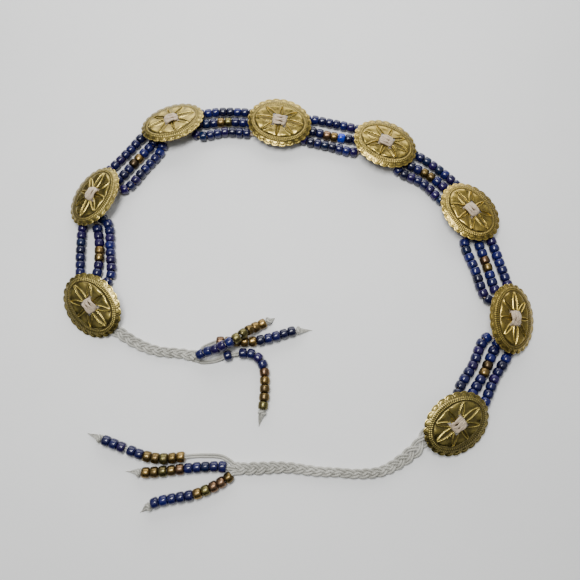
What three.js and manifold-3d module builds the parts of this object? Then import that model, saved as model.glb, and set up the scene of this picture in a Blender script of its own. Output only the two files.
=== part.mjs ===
// Beaded belt with eight slotted oval conchos, laid open in an arc on a table.
// Millimetres, +Z up. The origin is on the table, at the middle of the belt's footprint.
// Three cords run the whole belt: they are beaded between the conchos, laced over each
// concho's bridge, braided into a tie at both ends and beaded again as tassels.
import * as THREE from 'three';
import Module from 'manifold-3d';

const wasm = await Module();
wasm.setup();

// Driving dimensions
const beadDiameter = 6.8;
const beadLength = 5.25;
const beadPitch = 5.35;
const beadShoulder = 0.95;
const threadDiameter = 1.9;
const conchoLength = 46.9;
const conchoWidth = 37.6;
const conchoRise = 3.2;
const sheetThickness = 0.8;
const scallopCount = 24;
const scallopDepth = 0.8;
const petalCount = 8;
const petalRelief = 0.5;
const bridgeLength = 6.4;
const slotWidth = 2.0;
const lacingWidth = 9.2;
const lacingThickness = 1.4;
const lacingReach = 8.5;
const lacingDrop = 2.0;
const strandSpacing = 3.0;
const strandStub = 2.8;
const braidWidth = 7.6;
const braidThickness = 4.0;
const braidStep = 10;
const braidLanding = 11;
const knotDiameter = 4.6;
const knotLength = 4.6;
const clearance = 0.3;
const strandGap = 0.5;
const tieGap = 0.8;
const seatClearance = 0.45;

// Sides of the faceted round pieces
const beadSides = 10;
const threadSides = 4;
const grooveSides = 3;
const braidSides = 8;
const curveSamples = 400;

// Spacing of the points on a route and of the rings on bare cord
const routeStep = threadDiameter * 0.75;
const bareRingStep = threadDiameter * 4;

const beadRadius = beadDiameter / 2;
const threadRadius = threadDiameter / 2;
const beadHeight = beadRadius * Math.cos(Math.PI / beadSides);
const tableOrigin = new THREE.Vector3(3.6, 0.3, 0);

// Where each concho lies: its centre, its long axis, and how far it dips and leans
const conchoSeats = [
  { x: -132.2, y: -12.1, turn: 129.5, dip: 7.0, lean: -18.5 },
  { x: -136.7, y: 65.9, turn: 66.7, dip: 1.2, lean: -22.0 },
  { x: -85.5, y: 123.7, turn: 21.0, dip: 0.6, lean: -19.2 },
  { x: -8.0, y: 123.6, turn: -10.9, dip: -1.4, lean: 2.0 },
  { x: 67.7, y: 106.2, turn: -25.2, dip: -2.8, lean: -6.8 },
  { x: 124.5, y: 54.3, turn: -54.7, dip: 0.4, lean: -5.9 },
  { x: 145.5, y: -21.7, turn: -92.1, dip: -5.9, lean: -23.4 },
  { x: 104.8, y: -88.9, turn: -143.2, dip: -1.9, lean: -16.8 },
];

// The route of each string between two conchos: its distance to the left of the line
// between their centres, near the first one, half-way and near the second one, and how
// far its middle is shifted along that line
const routeInset = 18;
const stringRoutes = [
  { section: 1, name: 'outer', count: 8, shift: -0.4, near: 9.7, middle: 10.3, far: 9.2 },
  { section: 1, name: 'middle', count: 8, shift: -0.6, near: 0.1, middle: -2.7, far: 0.4 },
  { section: 1, name: 'inner', count: 8, shift: -1.5, near: -9.7, middle: -10.1, far: -7.5 },
  { section: 2, name: 'outer', count: 8, shift: 1.3, near: 8.6, middle: 9.3, far: 10.2 },
  { section: 2, name: 'middle', count: 8, shift: 0.8, near: -0.6, middle: 0.1, far: 1.4 },
  { section: 2, name: 'inner', count: 8, shift: -1.0, near: -9.3, middle: -9.1, far: -6.3 },
  { section: 3, name: 'outer', count: 8, shift: 0, near: 9.0, middle: 11.3, far: 9.4 },
  { section: 3, name: 'middle', count: 8, shift: -0.5, near: 1.2, middle: 3.0, far: 1.9 },
  { section: 3, name: 'inner', count: 8, shift: -1.3, near: -8.0, middle: -5.1, far: -5.8 },
  { section: 4, name: 'outer', count: 8, shift: -0.3, near: 9.1, middle: 10.4, far: 9.2 },
  { section: 4, name: 'middle', count: 8, shift: -0.3, near: 1.2, middle: 0.1, far: 1.5 },
  { section: 4, name: 'inner', count: 8, shift: -1.1, near: -6.8, middle: -8.0, far: -7.9 },
  { section: 5, name: 'outer', count: 8, shift: -0.2, near: 10.0, middle: 12.7, far: 11.2 },
  { section: 5, name: 'middle', count: 8, shift: -0.1, near: 0.9, middle: 4.6, far: 3.8 },
  { section: 5, name: 'inner', count: 8, shift: 1.2, near: -7.0, middle: -3.2, far: -4.2 },
  { section: 6, name: 'outer', count: 8, shift: -1.9, near: 8.6, middle: 8.8, far: 7.9 },
  { section: 6, name: 'middle', count: 8, shift: -0.9, near: 0.5, middle: -0.3, far: -0.6 },
  { section: 6, name: 'inner', count: 10, shift: 0, near: -8.9, middle: -9.2, far: -8.4 },
  { section: 7, name: 'outer', count: 8, shift: -1.3, near: 10.0, middle: 9.4, far: 10.4 },
  { section: 7, name: 'middle', count: 8, shift: -1.0, near: 1.0, middle: 1.9, far: 1.6 },
  { section: 7, name: 'inner', count: 8, shift: -0.9, near: -7.2, middle: -6.7, far: -6.6 },
];
const strandSide = { outer: 1, middle: 0, inner: -1 };

// Routes of the two braided ties along the table, from under the concho to the last crossing
const braidRoutes = {
  braid_left: [
    [-119.5, -26.5], [-114.7, -29.2], [-107.1, -34.1], [-100.5, -37.6], [-94.0, -40.2],
    [-87.6, -42.0], [-82.0, -42.8], [-76.9, -43.1], [-71.4, -43.7], [-67.4, -44.5],
    [-63.6, -45.1],
  ],
  braid_right: [
    [87.6, -95.2], [84.4, -99.4], [81.0, -103.2], [77.0, -106.8], [72.2, -110.3],
    [67.0, -113.6], [61.3, -116.5], [56.0, -118.4], [50.0, -119.3], [43.2, -119.6],
    [36.6, -119.4], [30.4, -118.8], [24.4, -118.5], [18.9, -118.3], [13.4, -117.7],
    [7.1, -116.8], [0.4, -116.0], [-6.6, -115.7], [-15.1, -116.0], [-23.9, -116.4],
    [-33.4, -116.5],
  ],
};

// Routes of the tassel strings from the braid's end to the tip of the tail behind the
// knot: lead is the bare cord before the first bead, gap the bare cord after bead gapAfter.
// The third number lifts the bead string over another one, in bead diameters.
const tasselRoutes = [
  {
    name: 'tassel_left_1', braid: 'braid_left', place: 0,
    lead: 2.4, gapAfter: 0, gap: 0, tail: 1.5, bronzeFirst: false,
    points: [
      [-58.1, -44.3, 0.34], [-52.9, -42.6, 0.5], [-47.3, -41.2, 0.82], [-42.6, -38.9, 1.05],
      [-37.6, -36.5, 1.1], [-32.8, -33.1, 1.04], [-28.6, -29.6, 0.68], [-24.6, -27.2, 0.24],
      [-20.0, -24.6, 0], [-14.8, -22.0, 0], [-9.8, -18.9, 0], [-4.6, -16.6, 0],
    ],
  },
  {
    name: 'tassel_left_2', braid: 'braid_left', place: 1,
    lead: 16.4, gapAfter: 0, gap: 0, tail: 5.5, bronzeFirst: true,
    points: [
      [-58.4, -39.9, 0], [-53.0, -37.2, 0], [-47.5, -35.9, 0], [-36.7, -36.0, 0],
      [-25.6, -35.9, 0], [-14.4, -33.8, 0], [-4.6, -30.8, 0], [1.0, -29.1, 0],
      [7.0, -28.4, 0], [13.0, -31.1, 0],
    ],
  },
  {
    name: 'tassel_left_3', braid: 'braid_left', place: -1,
    lead: 20.6, gapAfter: 1, gap: 4.7, tail: 5.0, bronzeFirst: false,
    points: [
      [-59.0, -49.0, 0], [-50.0, -48.2, 0], [-43.5, -45.9, 0], [-36.5, -44.2, 0],
      [-30.8, -43.7, 0], [-24.8, -44.6, 0], [-20.3, -47.8, 0], [-17.7, -52.6, 0],
      [-16.9, -58.1, 0], [-16.8, -68.9, 0], [-18.0, -79.6, 0], [-19.8, -85.4, 0],
      [-24.0, -89.6, 0],
    ],
  },
  {
    name: 'tassel_right_1', braid: 'braid_right', place: -1,
    lead: 34.4, gapAfter: 7, gap: 1.6, tail: 5.5, bronzeFirst: true,
    points: [
      [-37.5, -112.7, 0], [-43.5, -109.4, 0], [-55.0, -108.6, 0], [-67.1, -109.2, 0],
      [-80.9, -110.5, 0], [-91.6, -108.9, 0], [-101.6, -105.5, 0], [-113.5, -101.0, 0],
      [-118.8, -99.0, 0], [-124.0, -97.6, 0], [-129.8, -100.6, 0],
    ],
  },
  {
    name: 'tassel_right_2', braid: 'braid_right', place: 0,
    lead: 6.6, gapAfter: 0, gap: 0, tail: 5.0, bronzeFirst: false,
    points: [
      [-43.3, -115.3, 0], [-54.5, -115.5, 0], [-65.8, -116.5, 0], [-76.1, -117.7, 0],
      [-86.9, -118.7, 0], [-92.2, -118.8, 0], [-98.0, -118.2, 0], [-103.3, -113.8, 0],
    ],
  },
  {
    name: 'tassel_right_3', braid: 'braid_right', place: 1,
    lead: 3.6, gapAfter: 0, gap: 0, tail: 3.0, bronzeFirst: true,
    points: [
      [-39.2, -122.1, 0], [-49.1, -127.7, 0], [-58.9, -131.6, 0], [-69.0, -133.6, 0],
      [-79.0, -135.4, 0], [-84.2, -136.8, 0], [-88.9, -139.6, 0], [-93.6, -143.4, 0],
    ],
  },
];
const tasselBeads = 10;

// Materials
const palette = {
  blue: new THREE.Color(0x1c2468),
  bronze: new THREE.Color(0x7d5f35),
  cord: new THREE.Color(0xc9c8c0),
};
const brass = new THREE.MeshStandardMaterial({ color: 0x9b8645, roughness: 0.36, metalness: 1 });
const beads = new THREE.MeshStandardMaterial({ vertexColors: true, roughness: 0.22 });
const cord = new THREE.MeshStandardMaterial({ color: palette.cord, roughness: 0.85 });

// A closed surface through rings of points, which may differ in count, with both ends capped
function loft(rings, colours) {
  const positions = [];
  const shades = [];
  const indices = [];
  const starts = [];
  rings.forEach((ring, i) => {
    starts.push(positions.length / 3);
    for (const point of ring) {
      positions.push(point.x, point.y, point.z);
      if (colours) shades.push(colours[i].r, colours[i].g, colours[i].b);
    }
  });
  for (let r = 1; r < rings.length; r += 1) {
    const n = rings[r - 1].length;
    const m = rings[r].length;
    const a = starts[r - 1];
    const b = starts[r];
    let i = 0;
    let j = 0;
    while (i < n || j < m) {
      if (j === m || (i < n && (i + 1) * m <= (j + 1) * n)) {
        indices.push(a + (i % n), b + (j % m), a + ((i + 1) % n));
        i += 1;
      } else {
        indices.push(a + (i % n), b + (j % m), b + ((j + 1) % m));
        j += 1;
      }
    }
  }
  const last = rings.length - 1;
  for (let i = 2; i < rings[0].length; i += 1) indices.push(0, i - 1, i);
  for (let i = 2; i < rings[last].length; i += 1) {
    indices.push(starts[last], starts[last] + i, starts[last] + i - 1);
  }
  const geometry = new THREE.BufferGeometry();
  geometry.setAttribute('position', new THREE.Float32BufferAttribute(positions, 3));
  if (colours) geometry.setAttribute('color', new THREE.Float32BufferAttribute(shades, 3));
  geometry.setIndex(indices);
  return geometry;
}

function toSolid(geometry) {
  return new wasm.Manifold(new wasm.Mesh({
    numProp: 3,
    vertProperties: new Float32Array(geometry.attributes.position.array),
    triVerts: new Uint32Array(geometry.index.array),
  }));
}

function fromSolid(solid) {
  const mesh = solid.getMesh();
  const geometry = new THREE.BufferGeometry();
  geometry.setAttribute('position', new THREE.BufferAttribute(mesh.vertProperties, 3));
  geometry.setIndex(new THREE.BufferAttribute(mesh.triVerts, 1));
  return geometry;
}

// Concho: sections from the rim to the crown as shares of its half axes and of its rise
const ridgeShare = 0.72;
const petalShare = 0.42;
const crownShare = 0.26;
const hollowShare = 0.45;
const ridgeRise = 0.5;
const petalRise = 0.86;
const petalHalfAngle = THREE.MathUtils.degToRad(11);
const crownHeight = sheetThickness / 2 + conchoRise;
const ridgeHeight = sheetThickness / 2 + conchoRise * ridgeRise;
const petalHeight = sheetThickness / 2 + conchoRise * petalRise;
const hollowHeight = crownHeight - petalRelief - sheetThickness;
const rimUnderShare = 1 - (2 * scallopDepth) / conchoWidth;

function ovalRing(angles, share, heights) {
  return angles.map((angle, i) => new THREE.Vector3(
    (conchoLength / 2) * share * Math.cos(angle),
    -(conchoWidth / 2) * share * Math.sin(angle),
    heights[i % heights.length],
  ));
}

function evenAngles(count) {
  return Array.from({ length: count }, (_, i) => (2 * Math.PI * i) / count);
}

// Scalloped rim: every other point is drawn in by the depth of a notch
function scallopedRing(height) {
  return evenAngles(2 * scallopCount).map((angle, i) => {
    const inset = i % 2 === 0 ? 0 : scallopDepth;
    return new THREE.Vector3(
      (conchoLength / 2 - inset) * Math.cos(angle),
      -(conchoWidth / 2 - inset) * Math.sin(angle),
      height,
    );
  });
}

// The petals are raised lenses: a tip on the ridge line and two edges nearer the crown
function petalAngles(first, second, third) {
  const angles = [];
  for (let k = 0; k < petalCount; k += 1) {
    const base = (2 * Math.PI * k) / petalCount;
    angles.push(base + first, base + second, base + third);
  }
  return angles;
}

function makeConcho() {
  const between = Math.PI / petalCount;
  const third = (2 * between) / 3;
  const rings = [
    ovalRing(evenAngles(petalCount), hollowShare, [hollowHeight]),
    ovalRing(evenAngles(scallopCount), rimUnderShare, [-sheetThickness / 2]),
    scallopedRing(sheetThickness / 2),
    ovalRing(
      petalAngles(0, third, 2 * third),
      ridgeShare,
      [ridgeHeight + petalRelief, ridgeHeight, ridgeHeight],
    ),
    ovalRing(
      petalAngles(-petalHalfAngle, petalHalfAngle, between),
      petalShare,
      [petalHeight + petalRelief, petalHeight + petalRelief, petalHeight],
    ),
    ovalRing(evenAngles(petalCount), crownShare, [crownHeight]),
  ];
  const shell = toSolid(loft(rings));
  const slotLength = lacingWidth + 2 * clearance;
  let solid = shell;
  for (const side of [-1, 1]) {
    const cutter = boxSolid(slotWidth, slotLength, 4 * crownHeight);
    solid = solid.subtract(cutter.translate([(side * (bridgeLength + slotWidth)) / 2, 0, 0]));
  }
  return fromSolid(solid);
}

// A box as a loft of two square rings, centred on the origin
function boxSolid(width, depth, height) {
  const ring = (z) => [[1, 1], [1, -1], [-1, -1], [-1, 1]].map(
    ([x, y]) => new THREE.Vector3((x * width) / 2, (y * depth) / 2, z),
  );
  return toSolid(loft([ring(-height / 2), ring(height / 2)]));
}

// Height of the concho's underside over its rim plane, at a share of its half axes
function undersideHeight(share) {
  if (share >= rimUnderShare) return -sheetThickness / 2;
  if (share <= hollowShare) return hollowHeight;
  const t = (rimUnderShare - share) / (rimUnderShare - hollowShare);
  return THREE.MathUtils.lerp(-sheetThickness / 2, hollowHeight, t);
}

// Lacing: the cords come up through one slot, cross the bridge and go down the other.
// It is a flat band in the concho's own frame, worked out for one half and mirrored.
// Below the slot it flares out: most of the drop comes in the first part of the way.
const flareOut = 0.4;
const flareDown = 0.8;

function makeLacing() {
  const half = lacingThickness / 2;
  const bend = half + clearance;
  const diagonal = bend * Math.SQRT1_2;
  const slotCentre = (bridgeLength + slotWidth) / 2;
  const slotOuter = bridgeLength / 2 + slotWidth;
  const underSlot = hollowHeight - diagonal;
  const halfPath = [
    [lacingReach, -lacingDrop],
    [
      THREE.MathUtils.lerp(slotOuter, lacingReach, flareOut),
      THREE.MathUtils.lerp(underSlot, -lacingDrop, flareDown),
    ],
    [slotCentre, underSlot],
    [slotCentre, crownHeight],
    [bridgeLength / 2 + diagonal, crownHeight + diagonal],
    [bridgeLength / 2, crownHeight + bend],
  ];
  const path = halfPath.map(([x, z]) => [-x, z]).concat(halfPath.slice().reverse());
  const rings = path.map(([x, z], i) => {
    const before = path[Math.max(i - 1, 0)];
    const after = path[Math.min(i + 1, path.length - 1)];
    const level = i === 0 || i === path.length - 1;
    const tangent = new THREE.Vector3(after[0] - before[0], 0, level ? 0 : after[1] - before[1]);
    tangent.normalize();
    const side = new THREE.Vector3(0, lacingWidth / 2, 0);
    const face = new THREE.Vector3(0, 1, 0).cross(tangent).multiplyScalar(half);
    return [[1, -1], [1, 1], [-1, 1], [-1, -1]].map(([s, f]) => new THREE.Vector3(x, 0, z)
      .addScaledVector(side, s)
      .addScaledVector(face, f));
  });
  return loft(rings);
}

// A smooth route with its length measured along it
class Route {
  constructor(points) {
    this.curve = new THREE.CatmullRomCurve3(points, false, 'centripetal');
    this.curve.arcLengthDivisions = curveSamples;
    this.length = this.curve.getLength();
  }

  at(distance) {
    return this.curve.getPointAt(THREE.MathUtils.clamp(distance / this.length, 0, 1));
  }

  tangentAt(distance) {
    return this.curve.getTangentAt(THREE.MathUtils.clamp(distance / this.length, 0, 1));
  }
}

// A ring round the route with a flat side down
function roundRing(route, distance, radius, sides) {
  const centre = route.at(distance);
  const tangent = route.tangentAt(distance);
  const up = new THREE.Vector3(0, 0, 1);
  up.addScaledVector(tangent, -tangent.z).normalize();
  const right = tangent.clone().cross(up);
  return Array.from({ length: sides }, (_, i) => {
    const angle = -Math.PI / 2 + Math.PI / beadSides + (2 * Math.PI * i) / sides;
    return centre.clone()
      .addScaledVector(right, radius * Math.cos(angle))
      .addScaledVector(up, radius * Math.sin(angle));
  });
}

// Beads on their cord as one body: bare cord, then for each bead two shoulders, with the
// cord showing in the groove to the next one; a knot with a short tail may end it
function makeString(route, centres, shades, knotAt, tail) {
  const rings = [];
  const colours = [];
  const add = (distance, radius, sides, shade) => {
    rings.push(roundRing(route, distance, radius, sides));
    colours.push(palette[shade]);
  };
  const bareSteps = (from, to) => {
    const steps = Math.floor((to - from) / bareRingStep);
    for (let i = 1; i <= steps; i += 1) {
      add(from + ((to - from) * i) / (steps + 1), threadRadius, threadSides, 'cord');
    }
  };
  const shoulder = beadLength / 2 - beadShoulder;
  const touching = beadPitch - beadLength + clearance;
  add(0, threadRadius, threadSides, 'cord');
  bareSteps(0, centres[0] - beadLength / 2);
  add(centres[0] - beadLength / 2, threadRadius, threadSides, 'cord');
  centres.forEach((centre, i) => {
    add(centre - shoulder, beadRadius, beadSides, shades[i]);
    add(centre + shoulder, beadRadius, beadSides, shades[i]);
    const end = centre + beadLength / 2;
    const next = i + 1 < centres.length ? centres[i + 1] - beadLength / 2 : Infinity;
    if (next - end < touching) {
      add((end + next) / 2, threadRadius, grooveSides, 'cord');
    } else {
      add(end, threadRadius, threadSides, 'cord');
      if (next < Infinity) add(next, threadRadius, threadSides, 'cord');
    }
  });
  const lastBead = centres[centres.length - 1] + beadLength / 2;
  if (knotAt === undefined) {
    bareSteps(lastBead, route.length);
    add(route.length, threadRadius, threadSides, 'cord');
    return loft(rings, colours);
  }
  add(knotAt - knotLength / 4, knotDiameter / 2, beadSides, 'cord');
  add(knotAt + knotLength / 4, knotDiameter / 2, beadSides, 'cord');
  add(knotAt + knotLength / 2, threadRadius, threadSides, 'cord');
  add(knotAt + knotLength / 2 + tail, threadRadius / 2, threadSides, 'cord');
  return loft(rings, colours);
}

// A route with a height worked out at each distance along its plan
function liftedRoute(plan, heightAt) {
  const count = Math.round(plan.length / routeStep);
  const points = [];
  for (let i = 0; i <= count; i += 1) {
    const distance = (plan.length * i) / count;
    const point = plan.at(distance);
    point.z = heightAt(distance);
    points.push(point);
  }
  return new Route(points);
}

function onTable(x, y, height) {
  return new THREE.Vector3(x, y, height).sub(tableOrigin);
}

function seatMatrix(seat, height) {
  const turn = new THREE.Euler(
    THREE.MathUtils.degToRad(seat.lean),
    THREE.MathUtils.degToRad(-seat.dip),
    THREE.MathUtils.degToRad(seat.turn),
    'ZYX',
  );
  const place = onTable(seat.x, seat.y, height);
  return new THREE.Matrix4().makeRotationFromEuler(turn).setPosition(place);
}

// Where a strand leaves the lacing, in the concho's own frame
function strandEnd(direction, sideStep, distance) {
  return new THREE.Vector3(direction * distance, sideStep * strandSpacing, -lacingDrop);
}

// The plan of one string between two conchos: out of the lacing, along its row and back in
function stringPlan(row) {
  const from = seatMatrix(conchoSeats[row.section - 1], 0);
  const to = seatMatrix(conchoSeats[row.section], 0);
  const start = new THREE.Vector3().setFromMatrixPosition(from);
  const end = new THREE.Vector3().setFromMatrixPosition(to);
  const along = end.clone().sub(start);
  const span = along.length();
  along.normalize();
  const left = new THREE.Vector3(-along.y, along.x, 0);
  const rowPoint = (distance, offset) => start.clone()
    .addScaledVector(along, distance)
    .addScaledVector(left, offset);
  const side = strandSide[row.name];
  const exit = lacingReach + strandGap;
  const points = [
    strandEnd(1, side, exit).applyMatrix4(from),
    strandEnd(1, side, exit + strandStub).applyMatrix4(from),
    rowPoint(routeInset, row.near),
    rowPoint(span / 2, row.middle),
    rowPoint(span - routeInset, row.far),
    strandEnd(-1, side, exit + strandStub).applyMatrix4(to),
    strandEnd(-1, side, exit).applyMatrix4(to),
  ];
  points.forEach((point) => { point.z = 0; });
  const plan = new Route(points);
  const middle = plan.length / 2;
  const centres = Array.from(
    { length: row.count },
    (_, i) => middle + row.shift + (i - (row.count - 1) / 2) * beadPitch,
  );
  return { plan, centres };
}

// The beads lie on the table; past the last bead the bare cord climbs to the lacing
function stringRoute(row, heights) {
  const { plan, centres } = stringPlan(row);
  const side = strandSide[row.name];
  const exit = lacingReach + strandGap;
  const from = seatMatrix(conchoSeats[row.section - 1], heights[row.section - 1]);
  const to = seatMatrix(conchoSeats[row.section], heights[row.section]);
  const startHeight = strandEnd(1, side, exit).applyMatrix4(from).z;
  const endHeight = strandEnd(-1, side, exit).applyMatrix4(to).z;
  const first = centres[0] - beadLength / 2;
  const last = centres[centres.length - 1] + beadLength / 2;
  const route = liftedRoute(plan, (distance) => {
    if (distance < first) {
      const climb = THREE.MathUtils.smoothstep(first - distance, 0, first);
      return THREE.MathUtils.lerp(beadHeight, startHeight, climb);
    }
    const climb = THREE.MathUtils.smoothstep(distance, last, plan.length);
    return THREE.MathUtils.lerp(beadHeight, endHeight, climb);
  });
  return { route, centres };
}

// A concho settles until its underside is just clear of the beads beneath it. Beads a
// little way outside its rim count too.
const settlePasses = 12;
const settledWithin = 0.001;
const nearRimShare = 1.02;

function settleConcho(index, beadPoints) {
  const seat = conchoSeats[index];
  let height = 0;
  for (let pass = 0; pass < settlePasses; pass += 1) {
    const matrix = seatMatrix(seat, height);
    const inverse = matrix.clone().invert();
    const upward = new THREE.Vector3().setFromMatrixColumn(matrix, 2).z;
    let rise = 0;
    for (const point of beadPoints) {
      const local = point.clone().applyMatrix4(inverse);
      const share = Math.hypot(local.x / (conchoLength / 2), local.y / (conchoWidth / 2));
      if (share < nearRimShare) {
        const gap = undersideHeight(share) - local.z;
        rise = Math.max(rise, (seatClearance - gap) / upward);
      }
    }
    for (const rim of scallopedRing(-sheetThickness / 2)) {
      rise = Math.max(rise, seatClearance - rim.applyMatrix4(matrix).z);
    }
    if (rise < settledWithin) break;
    height += rise;
  }
  return height;
}

// Points on the upper half of each bead, for settling the conchos on them
function beadTops(row) {
  const { plan, centres } = stringPlan(row);
  const tops = [];
  for (const centre of centres) {
    for (const end of [-1, 1]) {
      const distance = centre + end * (beadLength / 2 - beadShoulder);
      const point = plan.at(distance);
      const tangent = plan.tangentAt(distance);
      const right = new THREE.Vector3(tangent.y, -tangent.x, 0);
      for (let k = 0; k <= beadSides / 2; k += 1) {
        const angle = (Math.PI * k) / (beadSides / 2);
        const top = point.clone().addScaledVector(right, beadRadius * Math.cos(angle));
        top.z = beadHeight + beadRadius * Math.sin(angle);
        tops.push(top);
      }
    }
  }
  return tops;
}

const seatHeights = conchoSeats.map((seat, index) => {
  const touching = stringRoutes.filter((row) => row.section === index || row.section === index + 1);
  return settleConcho(index, touching.flatMap(beadTops));
});

// A braided tie is one flat tube: it starts at the lacing and comes down to the table
function braidRoute(name, index, direction) {
  const matrix = seatMatrix(conchoSeats[index], seatHeights[index]);
  const exit = lacingReach + tieGap;
  const start = strandEnd(direction, 0, exit).applyMatrix4(matrix);
  const straight = strandEnd(direction, 0, exit + braidThickness).applyMatrix4(matrix);
  const plan = new Route([
    start.clone().setZ(0),
    straight.setZ(0),
    ...braidRoutes[name].map(([x, y]) => onTable(x, y, 0)),
  ]);
  return liftedRoute(plan, (distance) => THREE.MathUtils.lerp(
    start.z,
    braidThickness / 2,
    THREE.MathUtils.smoothstep(distance, 0, braidLanding),
  ));
}

function makeBraid(route) {
  const outline = new THREE.Shape();
  for (let i = 0; i < braidSides; i += 1) {
    const angle = (2 * Math.PI * (i + 0.5)) / braidSides;
    const x = (braidThickness / 2) * Math.cos(angle);
    const y = (braidWidth / 2) * Math.sin(angle);
    if (i === 0) outline.moveTo(x, y);
    else outline.lineTo(x, y);
  }
  outline.closePath();
  const steps = Math.ceil(route.length / braidStep);
  return new THREE.ExtrudeGeometry(outline, { extrudePath: route.curve, steps, bevelEnabled: false });
}

// A tassel string starts beside the others at the braid's end and lies on the table, with
// its bare cord low and its beads at their own height
function tasselRoute(tassel, braid, firstBead, knotEnd) {
  const end = braid.at(braid.length);
  const onward = braid.tangentAt(braid.length);
  const left = new THREE.Vector3(-onward.y, onward.x, 0);
  const start = end.clone()
    .addScaledVector(onward, tieGap)
    .addScaledVector(left, (tassel.place * braidWidth) / 3);
  const straight = start.clone().addScaledVector(onward, threadDiameter);
  const plan = new Route([
    start.setZ(0),
    straight.setZ(0),
    ...tassel.points.map(([x, y]) => onTable(x, y, 0)),
  ]);
  const lifts = tassel.points.map(([x, y, lift]) => {
    const target = onTable(x, y, 0);
    let nearest = 0;
    for (let i = 1; i <= curveSamples; i += 1) {
      const distance = (plan.length * i) / curveSamples;
      if (plan.at(distance).distanceTo(target) < plan.at(nearest).distanceTo(target)) nearest = distance;
    }
    return { distance: nearest, lift };
  });
  return liftedRoute(plan, (distance) => {
    const next = lifts.findIndex((entry) => entry.distance >= distance);
    const b = lifts[next < 0 ? lifts.length - 1 : next];
    const a = next > 0 ? lifts[next - 1] : { distance: 0, lift: next < 0 ? b.lift : 0 };
    const share = b.distance > a.distance ? (distance - a.distance) / (b.distance - a.distance) : 1;
    const lift = THREE.MathUtils.lerp(a.lift, b.lift, THREE.MathUtils.clamp(share, 0, 1));
    const climb = THREE.MathUtils.smoothstep(distance, firstBead - beadLength, firstBead);
    const droop = THREE.MathUtils.smoothstep(distance, knotEnd, knotEnd + tassel.tail);
    const base = THREE.MathUtils.lerp(threadRadius, beadHeight, climb * (1 - droop));
    return base + lift * beadDiameter;
  });
}

const part = new THREE.Group();

function addPiece(name, geometry, material, matrix) {
  const mesh = new THREE.Mesh(geometry, material);
  mesh.name = name;
  if (matrix) matrix.decompose(mesh.position, mesh.quaternion, mesh.scale);
  part.add(mesh);
}

const concho = makeConcho();
const lacing = makeLacing();
conchoSeats.forEach((seat, index) => {
  const matrix = seatMatrix(seat, seatHeights[index]);
  addPiece(`concho_${index + 1}`, concho, brass, matrix);
  addPiece(`lacing_${index + 1}`, lacing, cord, matrix);
});

for (const row of stringRoutes) {
  const { route, centres } = stringRoute(row, seatHeights);
  const shades = centres.map((_, i) => {
    const fromMiddle = Math.abs(i - (centres.length - 1) / 2);
    return row.name === 'middle' && fromMiddle < 1 ? 'bronze' : 'blue';
  });
  addPiece(`string_${row.section}_${row.name}`, makeString(route, centres, shades), beads);
}

const braids = {
  braid_left: braidRoute('braid_left', 0, -1),
  braid_right: braidRoute('braid_right', conchoSeats.length - 1, 1),
};
for (const [name, route] of Object.entries(braids)) addPiece(name, makeBraid(route), cord);

for (const tassel of tasselRoutes) {
  const centres = [];
  let distance = tassel.lead + beadLength / 2;
  for (let i = 1; i <= tasselBeads; i += 1) {
    centres.push(distance);
    distance += beadPitch + (i === tassel.gapAfter ? tassel.gap : 0);
  }
  const knotAt = centres[tasselBeads - 1] + (beadLength + knotLength) / 2;
  const route = tasselRoute(tassel, braids[tassel.braid], tassel.lead, knotAt + knotLength / 2);
  const shades = centres.map((_, i) => ((i < tasselBeads / 2) === tassel.bronzeFirst ? 'bronze' : 'blue'));
  addPiece(tassel.name, makeString(route, centres, shades, knotAt, tassel.tail), beads);
}

export default part;
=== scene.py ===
"""Beaded belt with slotted oval conchos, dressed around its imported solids.

The cord runs the whole belt: beaded between the conchos, laced over each concho's bridge,
braided into a tie at both ends and beaded again as tassels. Lengths are in millimetres in
the classes, and a mesh is scaled to metres as it is filled.
"""

import logging
import math
from dataclasses import dataclass, field
from enum import Enum

import bpy
import numpy as np
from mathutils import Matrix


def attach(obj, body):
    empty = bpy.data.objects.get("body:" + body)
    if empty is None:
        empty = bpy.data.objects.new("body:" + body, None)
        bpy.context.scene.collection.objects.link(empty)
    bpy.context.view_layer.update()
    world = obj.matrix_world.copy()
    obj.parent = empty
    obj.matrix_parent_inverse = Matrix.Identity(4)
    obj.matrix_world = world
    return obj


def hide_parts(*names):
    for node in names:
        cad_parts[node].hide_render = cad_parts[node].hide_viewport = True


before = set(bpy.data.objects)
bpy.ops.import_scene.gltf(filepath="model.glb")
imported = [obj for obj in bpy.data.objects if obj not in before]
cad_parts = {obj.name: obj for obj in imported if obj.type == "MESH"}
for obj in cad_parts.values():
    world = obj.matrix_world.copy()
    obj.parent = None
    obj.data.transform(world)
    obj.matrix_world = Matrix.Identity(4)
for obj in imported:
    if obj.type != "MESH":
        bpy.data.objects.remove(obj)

Array = np.ndarray
MM = 0.001
BODY = "root"
UP = np.array([0.0, 0.0, 1.0])
log = logging.getLogger("belt")

# Where the table's middle lies in the plan that seats and routes are written in
TABLE_ORIGIN = np.array([3.6, 0.3, 0.0])

# The spacing of a route's points, the least distance between two of its knots, and how far
# a cord stays off the table
ROUTE_STEP = 1.425
KNOT_GAP = 1e-8
CLEARANCE = 0.02


# Shapes as arrays


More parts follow.
